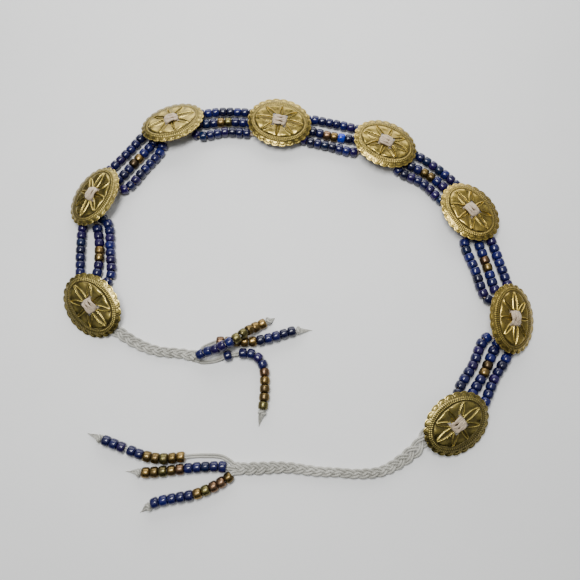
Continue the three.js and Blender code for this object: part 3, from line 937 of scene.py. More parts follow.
@dataclass(frozen=True)
class ConchoStamp:
    """The stamping that all eight conchos share, as a height over an oval.

    A point's share is its distance from the middle as a share of the oval's half axes, and
    its angle is measured the same way. Its place is the share it would have if the groove
    round the petals ran at the same share all the way; the real one is a longer oval.
    Values in pairs say where a soft rise starts and ends.
    """

    length: float = 46.9
    width: float = 37.6
    rise: float = 3.2
    sheet: float = 0.8
    bridge: float = 6.4
    slot_width: float = 2.0
    slot_length: float = 9.9
    sides: int = 528
    ring_runs: tuple = (
        (0.02, 0.22, 6), (0.22, 0.70, 24), (0.70, 0.75, 5), (0.75, 0.865, 9), (0.865, 1.0, 12),
    )
    under_rings: tuple = (0.985, 0.94, 0.86, 0.74, 0.6, 0.45, 0.3, 0.15, 0.03)
    under_draw: float = 0.015
    dome_sections: tuple = (
        (0.0, 1.02), (0.26, 1.0), (0.42, 0.94), (0.58, 0.86), (0.66, 0.80), (0.70, 0.74), (0.735, 0.66),
        (0.76, 0.63), (0.80, 0.57), (0.85, 0.45), (0.875, 0.37), (0.94, 0.19), (1.0, 0.0),
    )
    dome_steps: int = 400
    dome_blur: int = 6
    dome_softness: float = 0.6
    groove: float = 0.722
    groove_along: float = 0.77
    groove_across: float = 0.64
    groove_width: float = 0.011
    groove_depth: float = 0.22
    petals: int = 8
    petal_ends: tuple = (0.16, 0.705)
    petal_breadth: float = 1.25
    petal_long_breadth: float = 0.75
    petal_root: float = 0.62
    petal_swell: float = 1.05
    petal_point: float = 1.9
    petal_fade_in: tuple = (0.0, 0.1)
    petal_fade_out: tuple = (1.0, 0.97)
    petal_wall: tuple = (0.1, 0.6)
    petal_depth: float = 0.30
    ridge_width: float = 0.34
    ridge_height: float = 0.50
    pillow_aside: tuple = (0.25, 0.9)
    pillow_start: tuple = (0.45, 0.665)
    pillow_end: tuple = (0.715, 0.675)
    pillow_height: float = 0.34
    band_start: tuple = (0.742, 0.752)
    band_end: tuple = (0.868, 0.858)
    band_height: float = 0.02
    ticks: int = 84
    tick_rows: int = 2
    tick_row_start: float = 0.745
    tick_row_breadth: float = 0.12
    tick_height: float = 0.30
    scallops: int = 24
    scallop_depth: float = 0.8
    scallop_power: float = 2.2
    scallop_start: float = 0.86
    loop_middle: float = 2.75
    loop_radius: float = 1.95
    loop_width: float = 0.22
    loop_depth: float = 0.15
    loop_end: tuple = (3.0, 2.6)
    cushion: tuple = (1.9, 0.9)
    cushion_height: float = 0.05
    rim_inset: float = 0.35
    rim_width: float = 0.4
    rim_height: float = 0.10
    hatch_spacing: float = 0.9
    sharp_angle: float = 48.0
    marks: Marks = Marks()

    @property
    def half_axes(self) -> Array:
        """Half the length and half the width."""
        return np.array([self.length / 2, self.width / 2])

    @property
    def half_mean(self) -> float:
        """The mean of the two half axes."""
        return (self.length + self.width) / 4

    def places(self) -> Array:
        """Places of the rings from the middle to the rim, closer where the relief is fine."""
        runs = [np.linspace(start, end, count, endpoint=False) for start, end, count in self.ring_runs]
        return np.concatenate([*runs, [1.0]])

    def groove_share(self, angle: Array) -> Array:
        """Share at which the groove runs, between its values on the two axes."""
        return self.groove_across + (self.groove_along - self.groove_across) * np.cos(angle) ** 2

    def to_share(self, place: Array, angle: Array) -> Array:
        """Turn places into shares, stretched evenly on either side of the groove.

        Args:
            place: the places.
            angle: the angles of the same points.

        Returns:
            Their shares.
        """
        real = self.groove_share(angle)
        outside = 1 - (1 - place) * (1 - real) / (1 - self.groove)
        return np.where(place < self.groove, place * real / self.groove, outside)

    def to_place(self, share: Array, angle: Array) -> Array:
        """Turn shares into places, the other way round.

        Args:
            share: the shares.
            angle: the angles of the same points.

        Returns:
            Their places.
        """
        real = self.groove_share(angle)
        outside = 1 - (1 - share) * (1 - self.groove) / (1 - real)
        return np.where(share < real, share * self.groove / real, outside)

    def lobe(self, angle: Array) -> Array:
        """Place across a scallop, from -1 at one cusp to 1 at the next."""
        turn = angle * self.scallops / (2 * np.pi)
        return 2 * (turn - np.round(turn))

    def outline(self, share: Array, angle: Array) -> Array:
        """How far a point is drawn in so that the rim runs in scallops.

        The inset grows with a power of the place across the scallop, and fades out from
        the rim inwards.

        Args:
            share: the points' shares.
            angle: their angles.

        Returns:
            The insets, as shares.
        """
        inset = self.scallop_depth * np.abs(self.lobe(angle)) ** self.scallop_power
        return inset * smoothstep(self.scallop_start, 1.0, share) / (self.width / 2)

    def dome(self, place: Array) -> Array:
        """Height of the plain dome over the rim plane.

        It runs straight between given sections, and is then rounded by a running mean
        with soft weights.

        Args:
            place: the points' places.

        Returns:
            Their heights.
        """
        at, rise = np.array(self.dome_sections).T
        fine = np.linspace(0, 1, self.dome_steps + 1)
        weights = bell(np.linspace(-1, 1, 2 * self.dome_blur + 1), self.dome_softness)
        padded = np.pad(np.interp(fine, at, rise), self.dome_blur, mode="edge")
        rounded = np.convolve(padded, weights / weights.sum(), "valid")
        return self.sheet / 2 + self.rise * np.interp(place, fine, rounded)

    def petal(self, place: Array, angle: Array) -> tuple[Array, Array]:
        """The eight petals: each is a lens from near the bridge to the groove.

        Its half width grows evenly along it and is drawn to a point by one minus a power of
        the place along it. Its two edges are raised ridges and its inside is sunk.

        Args:
            place: the points' places.
            angle: their angles.

        Returns:
            The ridges' and the sunken insides' strength, each from 0 to 1.
        """
        step = 2 * np.pi / self.petals
        axis = np.round(angle / step) * step
        half = self.half_axes
        x, y = half[0] * place * np.cos(angle), half[1] * place * np.sin(angle)
        ax, ay = half[0] * np.cos(axis), half[1] * np.sin(axis)
        reach = np.hypot(ax, ay)
        aside = np.abs(x * ay - y * ax) / reach
        along = (x * ax + y * ay) / reach**2
        root, tip = self.petal_ends
        out = np.clip((along - root) / (tip - root), 0, 1)
        breadth = self.petal_breadth + self.petal_long_breadth * np.abs(np.cos(axis)) ** 2
        edge = breadth * (self.petal_root + self.petal_swell * out) * (1 - out**self.petal_point)
        ends = smoothstep(*self.petal_fade_in, out) * smoothstep(*self.petal_fade_out, out)
        ridge = bell(aside - edge, self.ridge_width) * ends
        inside = smoothstep(*self.petal_wall, edge - aside) * ends
        return ridge, inside

    def relief(self, place: Array, angle: Array) -> tuple[Array, Array, Array]:
        """Height of the stamped face, and how deep and how worn each point is.

        On the dome stand the petals with pillows between them, the groove, a band of two
        rows of ticks, a shallow loop in each scallop with a cushion inside it, and the rim.

        Args:
            place: the points' places.
            angle: their angles.

        Returns:
            The height over the rim plane, the depth mask and the wear mask.
        """
        half = self.half_mean
        from_rim = (1 - self.to_share(place, angle)) * half
        ridge, inside = self.petal(place, angle)
        step = 2 * np.pi / self.petals
        off_axis = np.abs(angle / step - np.round(angle / step)) * 2
        pillow = smoothstep(*self.pillow_aside, off_axis) * smoothstep(*self.pillow_start, place)
        pillow = pillow * smoothstep(*self.pillow_end, place)
        groove = bell(place - self.groove, self.groove_width)
        band = smoothstep(*self.band_start, place) * smoothstep(*self.band_end, place)
        in_band = (place - self.tick_row_start) / self.tick_row_breadth
        rows = np.abs(np.sin(np.pi * self.tick_rows * in_band))
        tick = rows * (0.5 + 0.5 * np.cos(angle * self.ticks))
        across_lobe = self.lobe(angle) * np.pi * half / self.scallops
        from_loop = np.hypot(across_lobe, from_rim - self.loop_middle)
        outer = smoothstep(*self.loop_end, from_rim)
        loop = bell(from_loop - self.loop_radius, self.loop_width) * outer
        cushion = smoothstep(*self.cushion, from_loop) * outer
        rim = bell(from_rim - self.rim_inset, self.rim_width)
        height = (
            self.dome(place)
            + self.ridge_height * ridge
            - self.petal_depth * inside
            + self.pillow_height * pillow
            - self.groove_depth * groove
            + band * (self.band_height + self.tick_height * tick)
            - self.loop_depth * loop
            + self.cushion_height * cushion
            + self.rim_height * rim
        )
        hatch = 0.5 + 0.5 * np.sin(place * half * 2 * np.pi / self.hatch_spacing)
        marks = self.marks
        deep = (
            inside * (marks.petal_dirt + marks.hatch_dirt * hatch)
            + marks.groove_dirt * groove
            + marks.loop_dirt * loop
            + band * marks.band_dirt * (1 - tick)
            + marks.slots_dirt * smoothstep(*marks.slots_range, place)
            + marks.middle_dirt * bell(place - marks.middle_place, marks.middle_width) * (1 - ridge)
        )
        worn = (
            marks.plain_wear
            + marks.ridge_wear * ridge
            + marks.pillow_wear * pillow
            + marks.tick_wear * band * tick
            + marks.cushion_wear * cushion
            + marks.rim_wear * rim
        )
        deep = np.clip(deep, 0, 1) * np.where(ridge > marks.clean_level, marks.clean_share, 1.0)
        return height, deep, np.clip(worn, 0, 1)

    def grid(self, places: Array, draw: float = 0.0) -> tuple[Array, Array, Array, Array]:
        """The points of rings in the oval's plane, drawn in to the scallops.

        A point is its share, less its inset, times the half axes' cosine and sine.

        Args:
            places: the rings' places.
            draw: by how much nearer to the rim the inset is taken.

        Returns:
            The points' place and angle, and their distances along and across.
        """
        place, angle = np.meshgrid(places, 2 * np.pi * np.arange(self.sides) / self.sides, indexing="ij")
        share = self.to_share(place, angle)
        drawn = share - self.outline(np.minimum(share + draw, 1.0), angle)
        half = self.half_axes
        return place, angle, drawn * np.cos(angle) * half[0], drawn * np.sin(angle) * half[1]

    def blank(self) -> Surface:
        """The closed plate before its slots are cut.

        Its rings run over the stamped face from the middle out, then over the underside
        back in, with a pole at either end.

        Returns:
            The plate.
        """
        place, angle, x, y = self.grid(self.places())
        face = np.stack([x, y, self.relief(place, angle)[0]], axis=-1)
        place, _, x, y = self.grid(np.array(self.under_rings), self.under_draw)
        under = np.stack([x, y, self.dome(place) - self.sheet], axis=-1)
        rings = np.concatenate([face, under])
        poles = np.array([[0, 0, face[0, 0, 2]], [0, 0, under[-1, 0, 2]]])
        count = len(rings)
        faces = [
            ring_faces(count, self.sides)[:, ::-1],
            cap_faces(0, self.sides, count * self.sides, True),
            cap_faces((count - 1) * self.sides, self.sides, count * self.sides + 1, False),
        ]
        return Surface(np.concatenate([rings.reshape(-1, 3), poles]), np.concatenate(faces))

    def cut(self) -> Surface:
        """The plate with its two slots cut through, from a Boolean of two slabs.

        Quads and triangles stay as they are. The larger faces that the cut leaves are
        taken apart into triangles.

        Returns:
            The cut and painted plate.
        """
        plate = self.blank().fill("concho_blank", [])
        scraps = [plate]
        for side in (-1, 1):
            slab = self.slab(side * (self.bridge + self.slot_width) / 2).fill(f"slot_cutter_{side}", [])
            cut = plate.modifiers.new(f"slot_{side}", "BOOLEAN")
            cut.operation = "DIFFERENCE"
            cut.solver = "EXACT"
            cut.object = slab
            scraps.append(slab)
        mesh = plate.evaluated_get(bpy.context.evaluated_depsgraph_get()).to_mesh()
        mesh.calc_loop_triangles()
        points = read(mesh.vertices, "co", float, 3) / MM
        corners = read(mesh.loops, "vertex_index", np.int32)
        starts = read(mesh.polygons, "loop_start", np.int32)
        sizes = read(mesh.polygons, "loop_total", np.int32)
        triangles = read(mesh.loop_triangles, "vertices", np.int32, 3)
        owners = read(mesh.loop_triangles, "polygon_index", np.int32)
        small = sizes <= 4
        index = np.minimum(starts[small, None] + np.arange(4), len(corners) - 1)
        kept = np.where(np.arange(4) < sizes[small, None], corners[index], -1)
        large = triangles[~small[owners]]
        plate.to_mesh_clear()
        for scrap in scraps:
            bpy.data.objects.remove(scrap)
        large = np.column_stack([large, np.full(len(large), -1)])
        return self.painted(points, np.concatenate([kept, large]))

    def painted(self, points: Array, faces: Array) -> Surface:
        """The plate with its masks worked out from where each point lies.

        Walls and underside, which lie well below the stamped face, get painted shade: they are all dark.

        Args:
            points: the plate's points.
            faces: its faces.

        Returns:
            The plate, with depth, painted shade and wear in its tint and room for the age.
        """
        half = self.half_axes
        share = np.hypot(points[:, 0] / half[0], points[:, 1] / half[1])
        angle = np.arctan2(points[:, 1] / self.width, points[:, 0] / self.length)
        share = np.minimum(share + self.outline(share, angle), 1.0)
        height, deep, worn = self.relief(self.to_place(share, angle), angle)
        # The walls and underside take painted shade in place of depth, and no wear
        face = smoothstep(*self.marks.wall_range, height - points[:, 2])
        deep = deep * face + self.marks.wall_shade * (1 - face)
        age, solid = np.zeros(len(points)), np.ones(len(points))
        return Surface(points, faces, np.column_stack([deep, worn * face, age, solid]))

    def slab(self, middle: float) -> Surface:
        """A box for one slot, from a ring of four corners carried straight up.

        Args:
            middle: distance of the slot's middle along the concho.

        Returns:
            The box.
        """
        wide, long, high = self.slot_width / 2, self.slot_length / 2, 3 * self.rise
        ring = np.array([[-wide, -long], [wide, -long], [wide, long], [-wide, long]]) + [middle, 0]
        points = np.concatenate([np.column_stack([ring, np.full(4, z)]) for z in (-high, high)])
        ends = np.array([[3, 2, 1, 0], [4, 5, 6, 7]])
        return Surface(points, np.concatenate([ring_faces(2, 4), ends]))


@dataclass
class Conchos:
    """The eight conchos: one stamping, laid at each seat."""

    brass: bpy.types.Material
    stamp: ConchoStamp = field(default_factory=ConchoStamp)

    def make(self) -> None:
        """Lay the cut plate at each seat, in place of its solid."""
        plate = self.stamp.cut()
        for index, seat in enumerate(SEATS, start=1):
            tint = plate.tint.copy()
            tint[:, 2] = seat.age
            laid = Surface(seat.place(plate.points), plate.faces, tint)
            piece = laid.fill(f"concho_{index}_stamped", [self.brass])
            piece.data.set_sharp_from_angle(angle=math.radians(self.stamp.sharp_angle))
            dress(piece, f"concho_{index}")


# Cord


@dataclass
class Lacing:
    """Six strands of cord over each concho's bridge, down through its slots and out.

    The rows of course lead a strand from below the plate up to the bridge's crown: distance
    along, how much nearer the outermost strand runs, share of its distance aside, and
    height. The shoulder follows them, with its last value taken down from the top.
    """

    cord: bpy.types.Material
    strands: int = 6
    spacing: float = 1.24
    thickness: float = 1.58
    sides: int = 8
    step: float = 0.55
    course: tuple = (
        (8.8, 0.0, 1.0, -2.0),
        (7.2, 0.0, 0.98, -1.5),
        (5.6, 0.0, 0.86, 0.1),
        (4.35, 0.35, 0.74, 2.2),
        (4.35, 0.55, 0.80, 3.9),
    )
    shoulder: tuple = (3.1, 0.98, 0.5)
    crown: float = 3.6
    crown_edge: float = 0.62
    crown_swell: float = 0.32
    slack: float = 0.2
    over: float = 0.3
    under: float = 0.1
    crossing: float = 0.12
    crest_spread: float = 1.04
    wave: float = 0.08
    wave_turn: float = 1.9
    fuzz: float = 0.04
    slimming: float = 0.14
    slim_from: tuple = (4.5, 6.5)

    def share(self, place: float) -> float:
        """Where a strand lies, from -1 at one outermost strand to 1 at the other."""
        return place / ((self.strands - 1) / 2)

    def flank(self, place: float, way: int, top: float) -> list[tuple[float, float, float]]:
        """One side of a strand, from below the plate up to the edge of the bridge's crown.

        Args:
            place: which strand it is at this side, counted from the middle.
            way: -1 for the side before the bridge, 1 for the side after it.
            top: the strand's height over the crown.

        Returns:
            Six points in the concho's own frame.
        """
        side = place * self.spacing
        nearer = self.share(place) ** 2
        points = [(way * (x - inwards * nearer), side * spread, z) for x, inwards, spread, z in self.course]
        along, spread, below = self.shoulder
        return [*points, (way * along, side * spread, top - below)]

    def strand(self, before: float, after: float, rng: np.random.Generator) -> Surface:
        """One strand in the concho's own frame: a tube through thirteen points.

        A strand that ends further left than it started crosses over its neighbour. Its
        radius varies by a sine along it and a little at random.

        Args:
            before: its place on the first side of the bridge, counted from the middle.
            after: its place on the other side.
            rng: source of its small unevenness.

        Returns:
            The tube.
        """
        swell = 1 - self.share((before + after) / 2) ** 2
        lift = self.crown_edge + self.crown_swell * swell
        top = self.crown + self.thickness * lift + rng.uniform(-self.slack, self.slack)
        over = self.over * self.thickness if after > before else -self.under if after < before else 0.0
        aside = ((1 - self.crossing) * before + self.crossing * after) * self.spacing * self.crest_spread
        crest = (0.0, aside + rng.uniform(-self.slack, self.slack), top + over)
        route = Route(np.array([*self.flank(before, -1, top), crest, *self.flank(after, 1, top)[::-1]]))
        stations = route.stations(self.step)
        path = route.at(stations)
        waves = self.wave * np.sin(stations * self.wave_turn + 2 * before)
        waves = waves + self.fuzz * rng.standard_normal(len(path))
        slim = 1 - self.slimming * smoothstep(*self.slim_from, np.abs(path[:, 0]))
        sideways = np.array([0.0, 1.0, 0.0])
        return tube(path, self.thickness / 2 * (1 + waves) * slim, self.sides, reference=sideways)

    def make(self) -> None:
        """Lace every concho, in place of its solid, with some neighbours crossed."""
        rng = np.random.default_rng(11)
        places = np.arange(self.strands) - (self.strands - 1) / 2
        for index, seat in enumerate(SEATS, start=1):
            after = places.copy()
            for low in range(rng.integers(0, 2), self.strands - 1, 2):
                after[[low, low + 1]] = after[[low + 1, low]]
            strands = Surface.joined([self.strand(a, b, rng) for a, b in zip(places, after)])
            strands.points = seat.place(strands.points)
            dress(strands.fill(f"lacing_{index}_strands", [self.cord]), f"lacing_{index}")


@dataclass(frozen=True)
class DoubledCord:
    """The two cords of a string, side by side, drawn together where beads hide them."""

    radius: float = 0.73
    thinner: float = 0.13
    aside: float = 0.74
    nearer: float = 0.2
    clear: float = 1.2
    within: float = 0.6
    step: float = 1.0
    fewest: int = 8
    sides: int = 8

    def along(self, route: Route, beaded: list[tuple[float, float]], start: float, end: float) -> Surface:
        """Lay both cords along a string's route.

        Each cord is a tube beside the route: its centre lies a little left or right of it,
        nearer and thinner between the ends of a run of beads.

        Args:
            route: the string's route.
            beaded: the runs of beads, as distances of their ends.
            start: distance at which the cords start, which may lie before the route.
            end: distance at which they end.

        Returns:
            Both tubes.
        """
        stations = np.linspace(start, end, max(int((end - start) / self.step), self.fewest))
        inside = np.clip(stations, 0, route.length)
        tangents = route.tangent(inside)
        path = route.at(inside) + (stations - inside)[:, None] * tangents
        hidden = np.zeros(len(stations))
        for low, high in beaded:
            rise = smoothstep(low - self.clear, low + self.within, stations)
            fall = smoothstep(high + self.clear, high - self.within, stations)
            hidden = np.maximum(hidden, rise * fall)
        sideways, _ = across(tangents, UP)
        aside = (self.aside - self.nearer * hidden)[:, None]
        radius = self.radius - self.thinner * hidden
        path[:, 2] = np.maximum(path[:, 2], radius + CLEARANCE)
        paths = [path + sideways * (way * aside) for way in (-1, 1)]
        return Surface.joined([tube(own, radius, self.sides) for own in paths])


class Shade(Enum):
    """What a bead is made of."""

    BLUE = 0
    BRONZE = 1


@dataclass
class BeadMaker:
    """Barrel beads with a hole, each a little different in size, tilt and colour.

    The rows of barrel lead from the bead's end to its middle: distance in from the end, and
    how much the radius there is less than the barrel's. Each tone has its weight beside it.
    """

    glass: bpy.types.Material
    lustre: bpy.types.Material
    rng: np.random.Generator
    sides: int = 12
    hole: float = 1.3
    hole_inset: float = 0.25
    end_breadth: float = 0.65
    barrel: tuple = ((0.28, 0.55), (0.90, 0.12), (1.80, -0.02))
    tilt: float = 0.022
    growth: tuple = (-0.02, 0.035)
    oval: float = 0.012
    depth_of_tone: tuple = (0.8, 1.25)
    blues: tuple = (
        ((0.006, 0.007, 0.066), 5.0),
        ((0.007, 0.010, 0.108), 2.4),
        ((0.013, 0.005, 0.068), 3.0),
        ((0.005, 0.006, 0.032), 1.6),
        ((0.004, 0.012, 0.056), 0.8),
    )
    bronzes: tuple = (
        ((0.25, 0.165, 0.055), 4.0),
        ((0.17, 0.118, 0.042), 3.0),
        ((0.16, 0.14, 0.052), 2.0),
        ((0.20, 0.118, 0.066), 1.2),
        ((0.07, 0.05, 0.026), 1.0),
    )
    cobalt: tuple = (0.012, 0.05, 0.62)

    def profile(self) -> Array:
        """The bead's section as distance along and radius.

        It runs from the hole out round the barrel and back into the hole at the other end,
        the second half a mirror of the first.

        Returns:
            The section's points.
        """
        half, radius = SIZES.length / 2, SIZES.diameter / 2
        first = [(-half + self.hole_inset, self.hole), (-half, self.hole + self.end_breadth)]
        first += [(-half + inwards, radius - less) for inwards, less in self.barrel]
        return np.array([*first, *((-along, reach) for along, reach in reversed(first))])

    def colour(self, shade: Shade) -> Array:
        """Draw a bead's colour from the table of its kind.

        Args:
            shade: what the bead is made of.

        Returns:
            The colour's red, green and blue.
        """
        table = self.blues if shade is Shade.BLUE else self.bronzes
        weights = np.array([weight for _, weight in table])
        pick = table[self.rng.choice(len(table), p=weights / weights.sum())][0]
        return np.array(pick) * self.rng.uniform(*self.depth_of_tone)

    def quads(self, rings: int) -> Array:
        """The faces of one bead, whose last ring is joined to its first through the hole.

        Args:
            rings: how many rings of points it has.

        Returns:
            The quads' corners.
        """
        ring = np.arange(rings)[:, None] * self.sides
        after_ring = (np.arange(rings)[:, None] + 1) % rings * self.sides
        side = np.arange(self.sides)[None, :]
        after = (side + 1) % self.sides
        corners = [ring + side, ring + after, after_ring + after, after_ring + side]
        return np.stack(corners, axis=-1).reshape(-1, 4)

    def beads(
        self, route: Route, centres: Array, shades: list[Shade], bright: int | None = None
    ) -> Surface:
        """All beads of a string as one array.

        Each is the section turned about the route's direction at its middle: distance
        along, plus the radius times cosine sideways and sine upwards.

        Args:
            route: the string's route.
            centres: distances of the beads' middles.
            shades: each bead's kind.
            bright: number of a bead in bright cobalt, if the row has one.

        Returns:
            The beads, each closed on itself through its hole.
        """
        count = len(centres)
        tangents = unit(route.tangent(centres) + self.rng.normal(0, self.tilt, (count, 3)))
        sideways, upward = across(tangents, UP)
        size = 1 + self.rng.uniform(*self.growth, (count, 1))
        middle = route.at(centres)
        middle[:, 2] += SIZES.diameter / 2 * size[:, 0] - SIZES.rest_height
        along, reach = self.profile().T
        side = np.arange(self.sides)[None, :] + self.rng.uniform(0, 1, (count, 1))
        angle = 2 * np.pi * side / self.sides
        oval = 1 + self.oval * np.sin(2 * angle + self.rng.uniform(0, 6, (count, 1)))
        outward = (oval * np.cos(angle))[..., None] * sideways[:, None]
        outward = outward + (oval * np.sin(angle))[..., None] * upward[:, None]
        points = (
            middle[:, None, None]
            + along[None, :, None, None] * tangents[:, None, None]
            + (reach * size)[:, :, None, None] * outward[:, None]
        )
        each = len(along) * self.sides
        quads = self.quads(len(along))
        faces = (quads[None] + (np.arange(count) * each)[:, None, None]).reshape(-1, 4)
        colours = np.array([self.colour(shade) for shade in shades])
        if bright is not None:
            colours[bright] = self.cobalt
        tint = np.repeat(np.column_stack([colours, np.ones(count)]), each, axis=0)
        slots = np.repeat([shade.value for shade in shades], len(quads))
        return Surface(points.reshape(-1, 3), faces, tint, slots=slots)

    def make(self, node: str, beads: Surface) -> None:
        """Fill the beads of a string in place of its solid."""
        dress(beads.fill(f"{node}_beads", [self.glass, self.lustre]), node)


@dataclass
class Strings:
    """The three rows of beads between each two conchos, on their doubled cords."""

    maker: BeadMaker
    cord: bpy.types.Material
    doubled: DoubledCord = field(default_factory=DoubledCord)
    overlap: float = 1.0

    def make(self) -> None:
        """Thread every row, with the two middle beads of each middle row's solid in bronze."""
        half = SIZES.length / 2
        for row in ROWS:
            route, centres = row.route()
            centres = np.concatenate([centres, centres[-1] + SIZES.pitch * np.arange(1, row.after + 1)])
            middle = (row.count - 1) / 2
            bronze = (np.abs(np.arange(len(centres)) - middle) < 1) & (row.row is Row.MIDDLE)
            shades = [Shade.BRONZE if metal else Shade.BLUE for metal in bronze]
            self.maker.make(row.node, self.maker.beads(route, centres, shades, row.bright))
            run = (centres[0] - half, centres[-1] + half)
            cords = self.doubled.along(route, [run], -self.overlap, route.length + self.overlap)
            dress(cords.fill(f"{row.node}_cord", [self.cord]), row.node)


@dataclass(frozen=True)
class Tie:
    """One braided tie: its route along the table and how its plait widens and tightens.

    widths and pitches give the plait's width and the length of one strand's full swing at
    shares of the tie's length.
    """

    name: str
    seat: int
    way: int
    route_points: tuple
    widths: tuple
    pitches: tuple
    width: float = 7.6
    thickness: float = 4.0
    landing: float = 11.0
    exit_reach: float = 9.3

    def route(self) -> Route:
        """The tie's route, coming down to the table from the lacing.

        Returns:
            The route in space.
        """
        seat = SEATS[self.seat]
        drop = -SIZES.strand_drop
        start = seat.place(np.array([self.way * self.exit_reach, 0, drop]))
        straight = seat.place(np.array([self.way * (self.exit_reach + self.thickness), 0, drop]))
        along = [np.array([x, y, 0]) - TABLE_ORIGIN for x, y in self.route_points]
        plan = Route(np.array([start, straight, *along]) * [1, 1, 0])
        stations = plan.stations()
        rest = self.thickness / 2
        return plan.lifted(start[2] + (rest - start[2]) * smoothstep(0, self.landing, stations))


TIES = [
    Tie(
        "braid_left",
        seat=0,
        way=-1,
        route_points=(
            (-119.5, -26.5), (-114.7, -29.2), (-107.1, -34.1), (-100.5, -37.6), (-94.0, -40.2),
            (-87.6, -42.0), (-82.0, -42.8), (-76.9, -43.1), (-71.4, -43.7), (-67.4, -44.5),
            (-63.6, -45.1),
        ),
        widths=((0.0, 7.6), (0.2, 8.2), (0.6, 7.2), (0.85, 6.9), (1.0, 7.6)),
        pitches=((0.0, 20.0), (1.0, 18.0)),
    ),
    Tie(
        "braid_right",
        seat=7,
        way=1,
        route_points=(
            (87.6, -95.2), (84.4, -99.4), (81.0, -103.2), (77.0, -106.8), (72.2, -110.3),
            (67.0, -113.6), (61.3, -116.5), (56.0, -118.4), (50.0, -119.3), (43.2, -119.6),
            (36.6, -119.4), (30.4, -118.8), (24.4, -118.5), (18.9, -118.3), (13.4, -117.7),
            (7.1, -116.8), (0.4, -116.0), (-6.6, -115.7), (-15.1, -116.0), (-23.9, -116.4),
            (-33.4, -116.5),
        ),
        widths=(
            (0.0, 7.6), (0.1, 9.0), (0.2, 9.2), (0.35, 6.6),
            (0.55, 6.0), (0.75, 7.0), (0.92, 8.4), (1.0, 7.6),
        ),
        pitches=((0.0, 30.0), (0.16, 26.0), (0.3, 17.0), (1.0, 18.0)),
    ),
]


@dataclass
class Braids:
    """The two ties: three doubled strands plaited flat."""

    cord: bpy.types.Material
    thickness: float = 1.62
    over: float = 1.0
    squeeze: float = 0.02
    before: float = 0.4
    after: float = 0.9
    step: float = 0.55
    wander: float = 0.06
    wander_turn: float = 0.9
    swell: float = 0.04
    swell_turn: float = 1.3
    sides: int = 8
    declared_step: float = 6.0

    def strands(self, tie: Tie, route: Route) -> Surface:
        """The plait of one tie.

        A strand swings sideways with the sine of its phase and up and down with the sine of
        twice that, a third of a turn behind the one before. Its two cords lie side by side,
        square to the strand's own direction.

        Args:
            tie: the tie.
            route: its route.

        Returns:
            Six tubes.
        """
        stations = np.arange(-self.before, route.length + self.after, self.step)
        inside = np.clip(stations, 0, route.length)
        share = inside / route.length
        tangents = route.tangent(inside)
        sideways, upward = across(tangents, UP)
        middle = route.at(inside) + (stations - inside)[:, None] * tangents
        width = np.interp(share, *np.array(tie.widths).T)
        pitch = np.interp(share, *np.array(tie.pitches).T)
        turns = np.cumsum(np.gradient(stations) / pitch)
        turns = turns / turns[-1] * round(turns[-1] * 3) / 3
        swing = (width - 2 * self.thickness) / 2
        rng = np.random.default_rng(5 + tie.seat)
        parts = []
        for strand in range(3):
            phase = 2 * np.pi * (turns + strand / 3)
            aside = swing * np.sin(phase)
            lift = self.over * np.sin(2 * phase)
            centre = middle + aside[:, None] * sideways + lift[:, None] * upward
            own = unit(np.gradient(centre, axis=0))
            beside = unit(np.cross(upward, own))
            for way in (-1, 1):
                wander = self.wander * np.sin(stations * self.wander_turn + rng.uniform(0, 6))
                path = centre + beside * (way * (self.thickness / 2 - self.squeeze) + wander)[:, None]
                swell = self.swell * np.sin(stations * self.swell_turn + rng.uniform(0, 6))
                radius = self.thickness / 2 * (1 + swell)
                path[:, 2] = np.maximum(path[:, 2], radius + CLEARANCE)
                parts.append(tube(path, radius, self.sides))
        return Surface.joined(parts)

    def make(self) -> dict[str, Route]:
        """Plait both ties.

        Returns:
            Their routes, by the names of their solids.
        """
        routes = {}
        for tie in TIES:
            route = tie.route()
            piece = self.strands(tie, route).fill(f"{tie.name}_plait", [self.cord])
            path = [tuple(point) for point in route.at(route.stations(self.declared_step)) * MM]
            dress(piece, tie.name)
            log.info("%s: %.1f mm long", tie.name, route.length)
            routes[tie.name] = route
        return routes


# Tassels


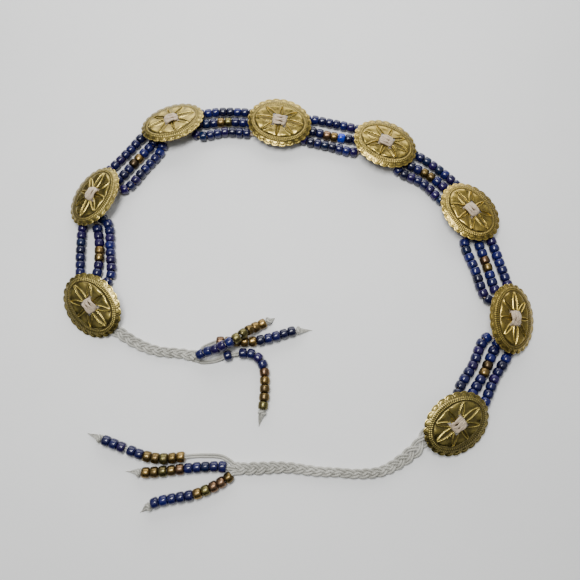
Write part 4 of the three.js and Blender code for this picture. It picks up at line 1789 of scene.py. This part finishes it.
@dataclass(frozen=True)
class Tassel:
    """One beaded end: ten beads on a doubled cord that ends in a knot and a short tail.

    place says on which side of the tie's end it starts. lead is the bare cord before the
    first bead, tail the cord behind the knot, and gap the bare cord after bead gap_after.
    The third number of a point lifts the string over another one, in bead diameters.
    """

    name: str
    tie: str
    place: int
    lead: float
    tail: float
    bronze_first: bool
    points: tuple
    gap_after: int = 0
    gap: float = 0.0
    beads: int = 10
    knot: float = 4.6
    tie_gap: float = 0.8
    fine_step: float = 0.25

    def centres(self) -> Array:
        """Distances of the beads' middles along the string.

        Returns:
            One distance for each bead.
        """
        number = np.arange(self.beads)
        gap = np.where((number >= self.gap_after) & (self.gap_after > 0), self.gap, 0.0)
        return self.lead + SIZES.length / 2 + number * SIZES.pitch + gap

    def knot_at(self) -> float:
        """Distance of the knot's middle."""
        return float(self.centres()[-1]) + (SIZES.length + self.knot) / 2

    def route(self, tie: Route, tie_width: float) -> Route:
        """The string's route, low where it is bare and at the beads' height where it is not.

        Args:
            tie: the route of the tie that it hangs from.
            tie_width: width over which the tie's strings lie side by side.

        Returns:
            The route in space.
        """
        end = tie.at(np.array([tie.length]))[0]
        onward = tie.tangent(np.array([tie.length]))[0]
        left = np.array([-onward[1], onward[0], 0])
        start = end + onward * self.tie_gap + left * self.place * tie_width / 3
        straight = start + onward * SIZES.thread
        spots = np.array([[x, y, 0] for x, y, _ in self.points]) - TABLE_ORIGIN
        plan = Route(np.array([start, straight, *spots]) * [1, 1, 0])
        fine = plan.stations(self.fine_step)
        offsets = np.linalg.norm(plan.at(fine)[None] - (spots * [1, 1, 0])[:, None], axis=2)
        reached = fine[offsets.argmin(axis=1)]
        stations = plan.stations()
        lift = np.interp(stations, [0.0, *reached], [0.0, *(lift for _, _, lift in self.points)])
        knot_end = self.knot_at() + self.knot / 2
        climb = smoothstep(self.lead - SIZES.length, self.lead, stations)
        droop = smoothstep(knot_end, knot_end + self.tail, stations)
        low = SIZES.thread / 2
        base = low + (SIZES.rest_height - low) * climb * (1 - droop)
        return plan.lifted(base + lift * SIZES.diameter)


TASSELS = [
    Tassel(
        "tassel_left_1", "braid_left", place=0, lead=2.4, tail=1.5, bronze_first=False,
        points=(
            (-58.1, -44.3, 0.34), (-52.9, -42.6, 0.5), (-47.3, -41.2, 0.82), (-42.6, -38.9, 1.05),
            (-37.6, -36.5, 1.1), (-32.8, -33.1, 1.04), (-28.6, -29.6, 0.68), (-24.6, -27.2, 0.24),
            (-20.0, -24.6, 0), (-14.8, -22.0, 0), (-9.8, -18.9, 0), (-4.6, -16.6, 0),
        ),
    ),
    Tassel(
        "tassel_left_2", "braid_left", place=1, lead=16.4, tail=5.5, bronze_first=True,
        points=(
            (-58.4, -39.9, 0), (-53.0, -37.2, 0), (-47.5, -35.9, 0), (-36.7, -36.0, 0),
            (-25.6, -35.9, 0), (-14.4, -33.8, 0), (-4.6, -30.8, 0), (1.0, -29.1, 0),
            (7.0, -28.4, 0), (13.0, -31.1, 0),
        ),
    ),
    Tassel(
        "tassel_left_3", "braid_left", place=-1, lead=20.6, tail=5.0, bronze_first=False,
        gap_after=1, gap=4.7,
        points=(
            (-59.0, -49.0, 0), (-50.0, -48.2, 0), (-43.5, -45.9, 0), (-36.5, -44.2, 0),
            (-30.8, -43.7, 0), (-24.8, -44.6, 0), (-20.3, -47.8, 0), (-17.7, -52.6, 0),
            (-16.9, -58.1, 0), (-16.8, -68.9, 0), (-18.0, -79.6, 0), (-19.8, -85.4, 0),
            (-24.0, -89.6, 0),
        ),
    ),
    Tassel(
        "tassel_right_1", "braid_right", place=-1, lead=34.4, tail=5.5, bronze_first=True,
        gap_after=7, gap=1.6,
        points=(
            (-37.5, -112.7, 0), (-43.5, -109.4, 0), (-55.0, -108.6, 0), (-67.1, -109.2, 0),
            (-80.9, -110.5, 0), (-91.6, -108.9, 0), (-101.6, -105.5, 0), (-113.5, -101.0, 0),
            (-118.8, -99.0, 0), (-124.0, -97.6, 0), (-129.8, -100.6, 0),
        ),
    ),
    Tassel(
        "tassel_right_2", "braid_right", place=0, lead=6.6, tail=5.0, bronze_first=False,
        points=(
            (-43.3, -115.3, 0), (-54.5, -115.5, 0), (-65.8, -116.5, 0), (-76.1, -117.7, 0),
            (-86.9, -118.7, 0), (-92.2, -118.8, 0), (-98.0, -118.2, 0), (-103.3, -113.8, 0),
        ),
    ),
    Tassel(
        "tassel_right_3", "braid_right", place=1, lead=3.6, tail=3.0, bronze_first=True,
        points=(
            (-39.2, -122.1, 0), (-49.1, -127.7, 0), (-58.9, -131.6, 0), (-69.0, -133.6, 0),
            (-79.0, -135.4, 0), (-84.2, -136.8, 0), (-88.9, -139.6, 0), (-93.6, -143.4, 0),
        ),
    ),
]


@dataclass
class Tassels:
    """The six beaded ends."""

    maker: BeadMaker
    cord: bpy.types.Material
    doubled: DoubledCord = field(default_factory=DoubledCord)
    strand: float = 1.46
    sides: int = 8
    overlap: float = 1.8
    knot_steps: int = 60
    knot_reach: float = 0.72
    knot_length: float = 0.7
    knot_tightness: float = 1.16
    knot_back: float = 0.4
    knot_sink: float = 0.3
    knot_rest: float = 3.02
    fibres: int = 7
    fibre_sides: int = 6
    fibre_steps: int = 12
    fibre_radius: float = 0.3
    fibre_thinning: float = 0.75
    fibre_extra: float = 2.0
    fibre_lengths: tuple = (0.75, 1.1)
    fibre_spread: tuple = (1.2, 1.8)
    fibre_gather: float = 0.8
    fibre_wave: float = 0.18
    fibre_clearance: float = 0.03
    fibre_droop: tuple = (0.15, 0.9)
    fibre_rise: float = 0.4

    def knot(self, centre: Array, along: Array) -> Surface:
        """An overhand knot: a trefoil tube drawn tight.

        A trefoil's point is the cosine and sine of twice a full turn, times two plus the
        cosine of three turns, with the sine of three turns along the string.

        Args:
            centre: the knot's middle.
            along: direction of the string there.

        Returns:
            The tube.
        """
        turn = np.linspace(0, 2 * np.pi, self.knot_steps + 1)
        sideways, upward = across(along[None], UP)
        reach = self.knot_reach * (2 + np.cos(3 * turn))
        path = (
            centre
            + (self.knot_length * np.sin(3 * turn))[:, None] * along
            + (reach * np.cos(2 * turn))[:, None] * sideways
            + (reach * np.sin(2 * turn))[:, None] * upward
        )
        radius = np.full(len(turn), self.strand / 2 * self.knot_tightness)
        return tube(path, radius, self.sides, reference=along)

    def tails(self, start: Array, along: Array, length: float, rng: np.random.Generator) -> list[Surface]:
        """The cut ends behind the knot, frayed into fibres that droop and draw to a point.

        A fibre starts aside by its place in the fan, which dies away along it, and a sine
        lets it wander. Its height falls softly to the table.

        Args:
            start: the knot's middle.
            along: direction of the string there.
            length: how far they reach past the knot.
            rng: source of their unevenness.

        Returns:
            Tapering tubes.
        """
        sideways, _ = across(along[None], UP)
        steps = np.linspace(0, 1, self.fibre_steps)
        radius = self.strand * self.fibre_radius * (1 - self.fibre_thinning * steps**1.5)
        floor = radius + self.fibre_clearance
        parts = []
        for fan in np.linspace(-1, 1, self.fibres):
            reach = (self.strand + length) * rng.uniform(*self.fibre_lengths) + self.fibre_extra
            spread = fan * rng.uniform(*self.fibre_spread) * (1 - steps) ** self.fibre_gather
            spread = spread + self.fibre_wave * np.sin(steps * 5 + 3 * fan)
            path = start + np.outer(steps * reach, along) + spread[:, None] * sideways
            rise = start[2] + rng.uniform(-self.fibre_rise, self.fibre_rise)
            drooping = rise + (floor[-1] - rise) * smoothstep(*self.fibre_droop, steps)
            path[:, 2] = np.maximum(drooping, floor)
            parts.append(tube(path, radius, self.fibre_sides))
        return parts

    def cords(self, tassel: Tassel, route: Route, rng: np.random.Generator) -> Surface:
        """A tassel's doubled cord, its knot and its frayed ends.

        Args:
            tassel: the tassel.
            route: its route.
            rng: source of the ends' unevenness.

        Returns:
            All tubes.
        """
        half = SIZES.length / 2
        centres = tassel.centres()
        breaks = [0, tassel.gap_after, tassel.beads] if tassel.gap_after else [0, tassel.beads]
        runs = [(centres[a] - half, centres[b - 1] + half) for a, b in zip(breaks, breaks[1:])]
        at = np.array([tassel.knot_at() - self.knot_back])
        knot = route.at(at)[0]
        knot[2] = max(knot[2] - self.knot_sink, self.knot_rest)
        along = unit(route.tangent(at)[0] * [1, 1, 0])
        doubled = self.doubled.along(route, runs, -self.overlap, float(at[0]))
        tails = self.tails(knot, along, tassel.tail, rng)
        return Surface.joined([doubled, self.knot(knot, along), *tails])

    def make(self, ties: dict[str, Route]) -> None:
        """Thread the six ends, half of each in bronze.

        Args:
            ties: routes of the ties that they hang from.
        """
        rng = np.random.default_rng(23)
        for tassel in TASSELS:
            route = tassel.route(ties[tassel.tie], TIES[0].width)
            early = np.arange(tassel.beads) < tassel.beads / 2
            shades = [Shade.BRONZE if first == tassel.bronze_first else Shade.BLUE for first in early]
            self.maker.make(tassel.name, self.maker.beads(route, tassel.centres(), shades))
            cords = self.cords(tassel, route, rng)
            dress(cords.fill(f"{tassel.name}_cord", [self.cord]), tassel.name)


# Studio


@dataclass(frozen=True)
class SoftBox:
    """A soft light aimed at the middle of the table: its place, width, depth and power."""

    name: str
    place: tuple
    width: float
    depth: float
    power: float


@dataclass
class Studio:
    """Camera, pale table and soft light.

    The room is set by directions, as unit vectors from the belt: the ceiling's glow has a
    centre and a squared reach, and the open side and the dim left side have ranges in which
    the room's light comes up.
    """

    table: bpy.types.Material
    camera_place: tuple = (-3.94, -100.16, 383.3)
    target: tuple = (-3.94, 0.04, 0.0)
    focal_length: float = 35.93
    sensor: float = 36.0
    nearest: float = 0.01
    table_reach: float = 2500.0
    air: tuple = (0.98, 1.0, 1.0, 1)
    walls: float = 0.42
    walls_low: float = 0.4
    wall_range: tuple = (-0.05, 0.75)
    ceiling: float = 0.2
    glow_centre: tuple = (-0.2, 0.08)
    glow_reach: tuple = (0.0, 0.55)
    glow_height: tuple = (0.0, 0.3)
    open_side: tuple = (-0.56, -0.38)
    left_side: tuple = (-0.9, -0.45)
    left_share: float = 0.3
    doorway: float = 0.03
    backdrop: float = 0.5
    boxes: tuple = (
        SoftBox("overhead", (-0.08, 0.06, 0.60), 0.30, 0.14, 3.6),
        SoftBox("far_wall", (0.0, 0.66, 0.28), 0.90, 0.50, 5.0),
    )

    def aim(self, thing: bpy.types.Object, place: Array, target: Array) -> None:
        """Put a camera or light at a place, looking at a target.

        Args:
            thing: the camera or light.
            place: where it stands, in metres.
            target: the point that it looks at, in metres.
        """
        back = unit(place - target)
        right = unit(np.cross(UP, back))
        matrix = np.eye(4)
        matrix[:3, :3] = np.column_stack([right, np.cross(back, right), back])
        matrix[:3, 3] = place
        thing.matrix_world = [list(row) for row in matrix.T]

    def make_camera(self) -> None:
        """Set the camera where the photograph was taken from."""
        data = bpy.data.cameras.new("camera")
        data.lens = self.focal_length
        data.sensor_width = self.sensor
        data.clip_start = self.nearest
        camera = bpy.data.objects.new("camera", data)
        bpy.context.scene.collection.objects.link(camera)
        self.aim(camera, np.array(self.camera_place) * MM, np.array(self.target) * MM)
        bpy.context.scene.camera = camera

    def make_light(self) -> None:
        """Hang the soft boxes and light the room."""
        for box in self.boxes:
            data = bpy.data.lights.new(box.name, "AREA")
            data.shape = "RECTANGLE"
            data.size = box.width
            data.size_y = box.depth
            data.energy = box.power
            light = bpy.data.objects.new(box.name, data)
            bpy.context.scene.collection.objects.link(light)
            self.aim(light, np.array(box.place), np.zeros(3))
        self.make_room()

    def make_room(self) -> None:
        """Light the room: pale walls, a ceiling that glows over the belt, and the dim sides
        to the left and where the photographer stood. The camera sees a pale backdrop."""
        world = bpy.data.worlds.new("room")
        world.use_nodes = True
        graph = Graph(world.node_tree)
        way = graph.add("TexCoord").outputs["Generated"]
        right, away, up = graph.add("SeparateXYZ", {0: way}).outputs
        offsets = [graph.less(part, middle) for part, middle in zip((right, away), self.glow_centre)]
        spread = graph.plus(*(graph.math("POWER", offset, 2.0) for offset in offsets))
        glow = graph.ramp(spread, self.glow_reach, (self.ceiling, 0.0))
        glow = graph.times(glow, graph.ramp(up, self.glow_height))
        wall = graph.ramp(up, self.wall_range, (self.walls_low * self.walls, self.walls))
        room = graph.times(graph.plus(glow, wall), graph.ramp(away, self.open_side))
        room = graph.times(room, graph.ramp(right, self.left_side, (self.left_share, 1.0)))
        seen = graph.times(graph.add("LightPath").outputs["Is Camera Ray"], self.backdrop)
        light = graph.math("MAXIMUM", graph.plus(room, self.doorway), seen)
        sky = graph.add("Background", {0: self.air, 1: light})
        graph.add("OutputWorld", {0: sky.outputs[0]})
        bpy.context.scene.world = world

    def make_table(self) -> None:
        """Lay the table under the belt, on its lowest point."""
        square = np.array([[-1, -1], [1, -1], [1, 1], [-1, 1]]) * self.table_reach
        top = Surface(np.column_stack([square, np.zeros(4)]), np.array([[0, 1, 2, 3]]))
        top.fill("table_top", [self.table])


def main() -> None:
    """Build the belt, piece by piece."""
    logging.basicConfig(level=logging.INFO, format="%(message)s")
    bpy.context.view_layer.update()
    studio = Studio(TableFinish().build())
    studio.make_camera()
    # The second colour of each cord is its soil in spots and the painted shade in its ply grooves
    braid_cord = CordFinish("braid_cord", (0.54, 0.53, 0.475, 1), (0.16, 0.152, 0.122, 1)).build()
    lace_cord = CordFinish("lace_cord", (0.66, 0.525, 0.37, 1), (0.24, 0.17, 0.115, 1)).build()
    ties = Braids(braid_cord).make()
    studio.make_table()
    studio.make_light()
    maker = BeadMaker(GlassFinish().build(), LustreFinish().build(), np.random.default_rng(7))
    Conchos(BrassFinish().build()).make()
    Lacing(lace_cord).make()
    Strings(maker, lace_cord).make()
    Tassels(maker, braid_cord).make(ties)


if __name__ == "__main__":
    main()
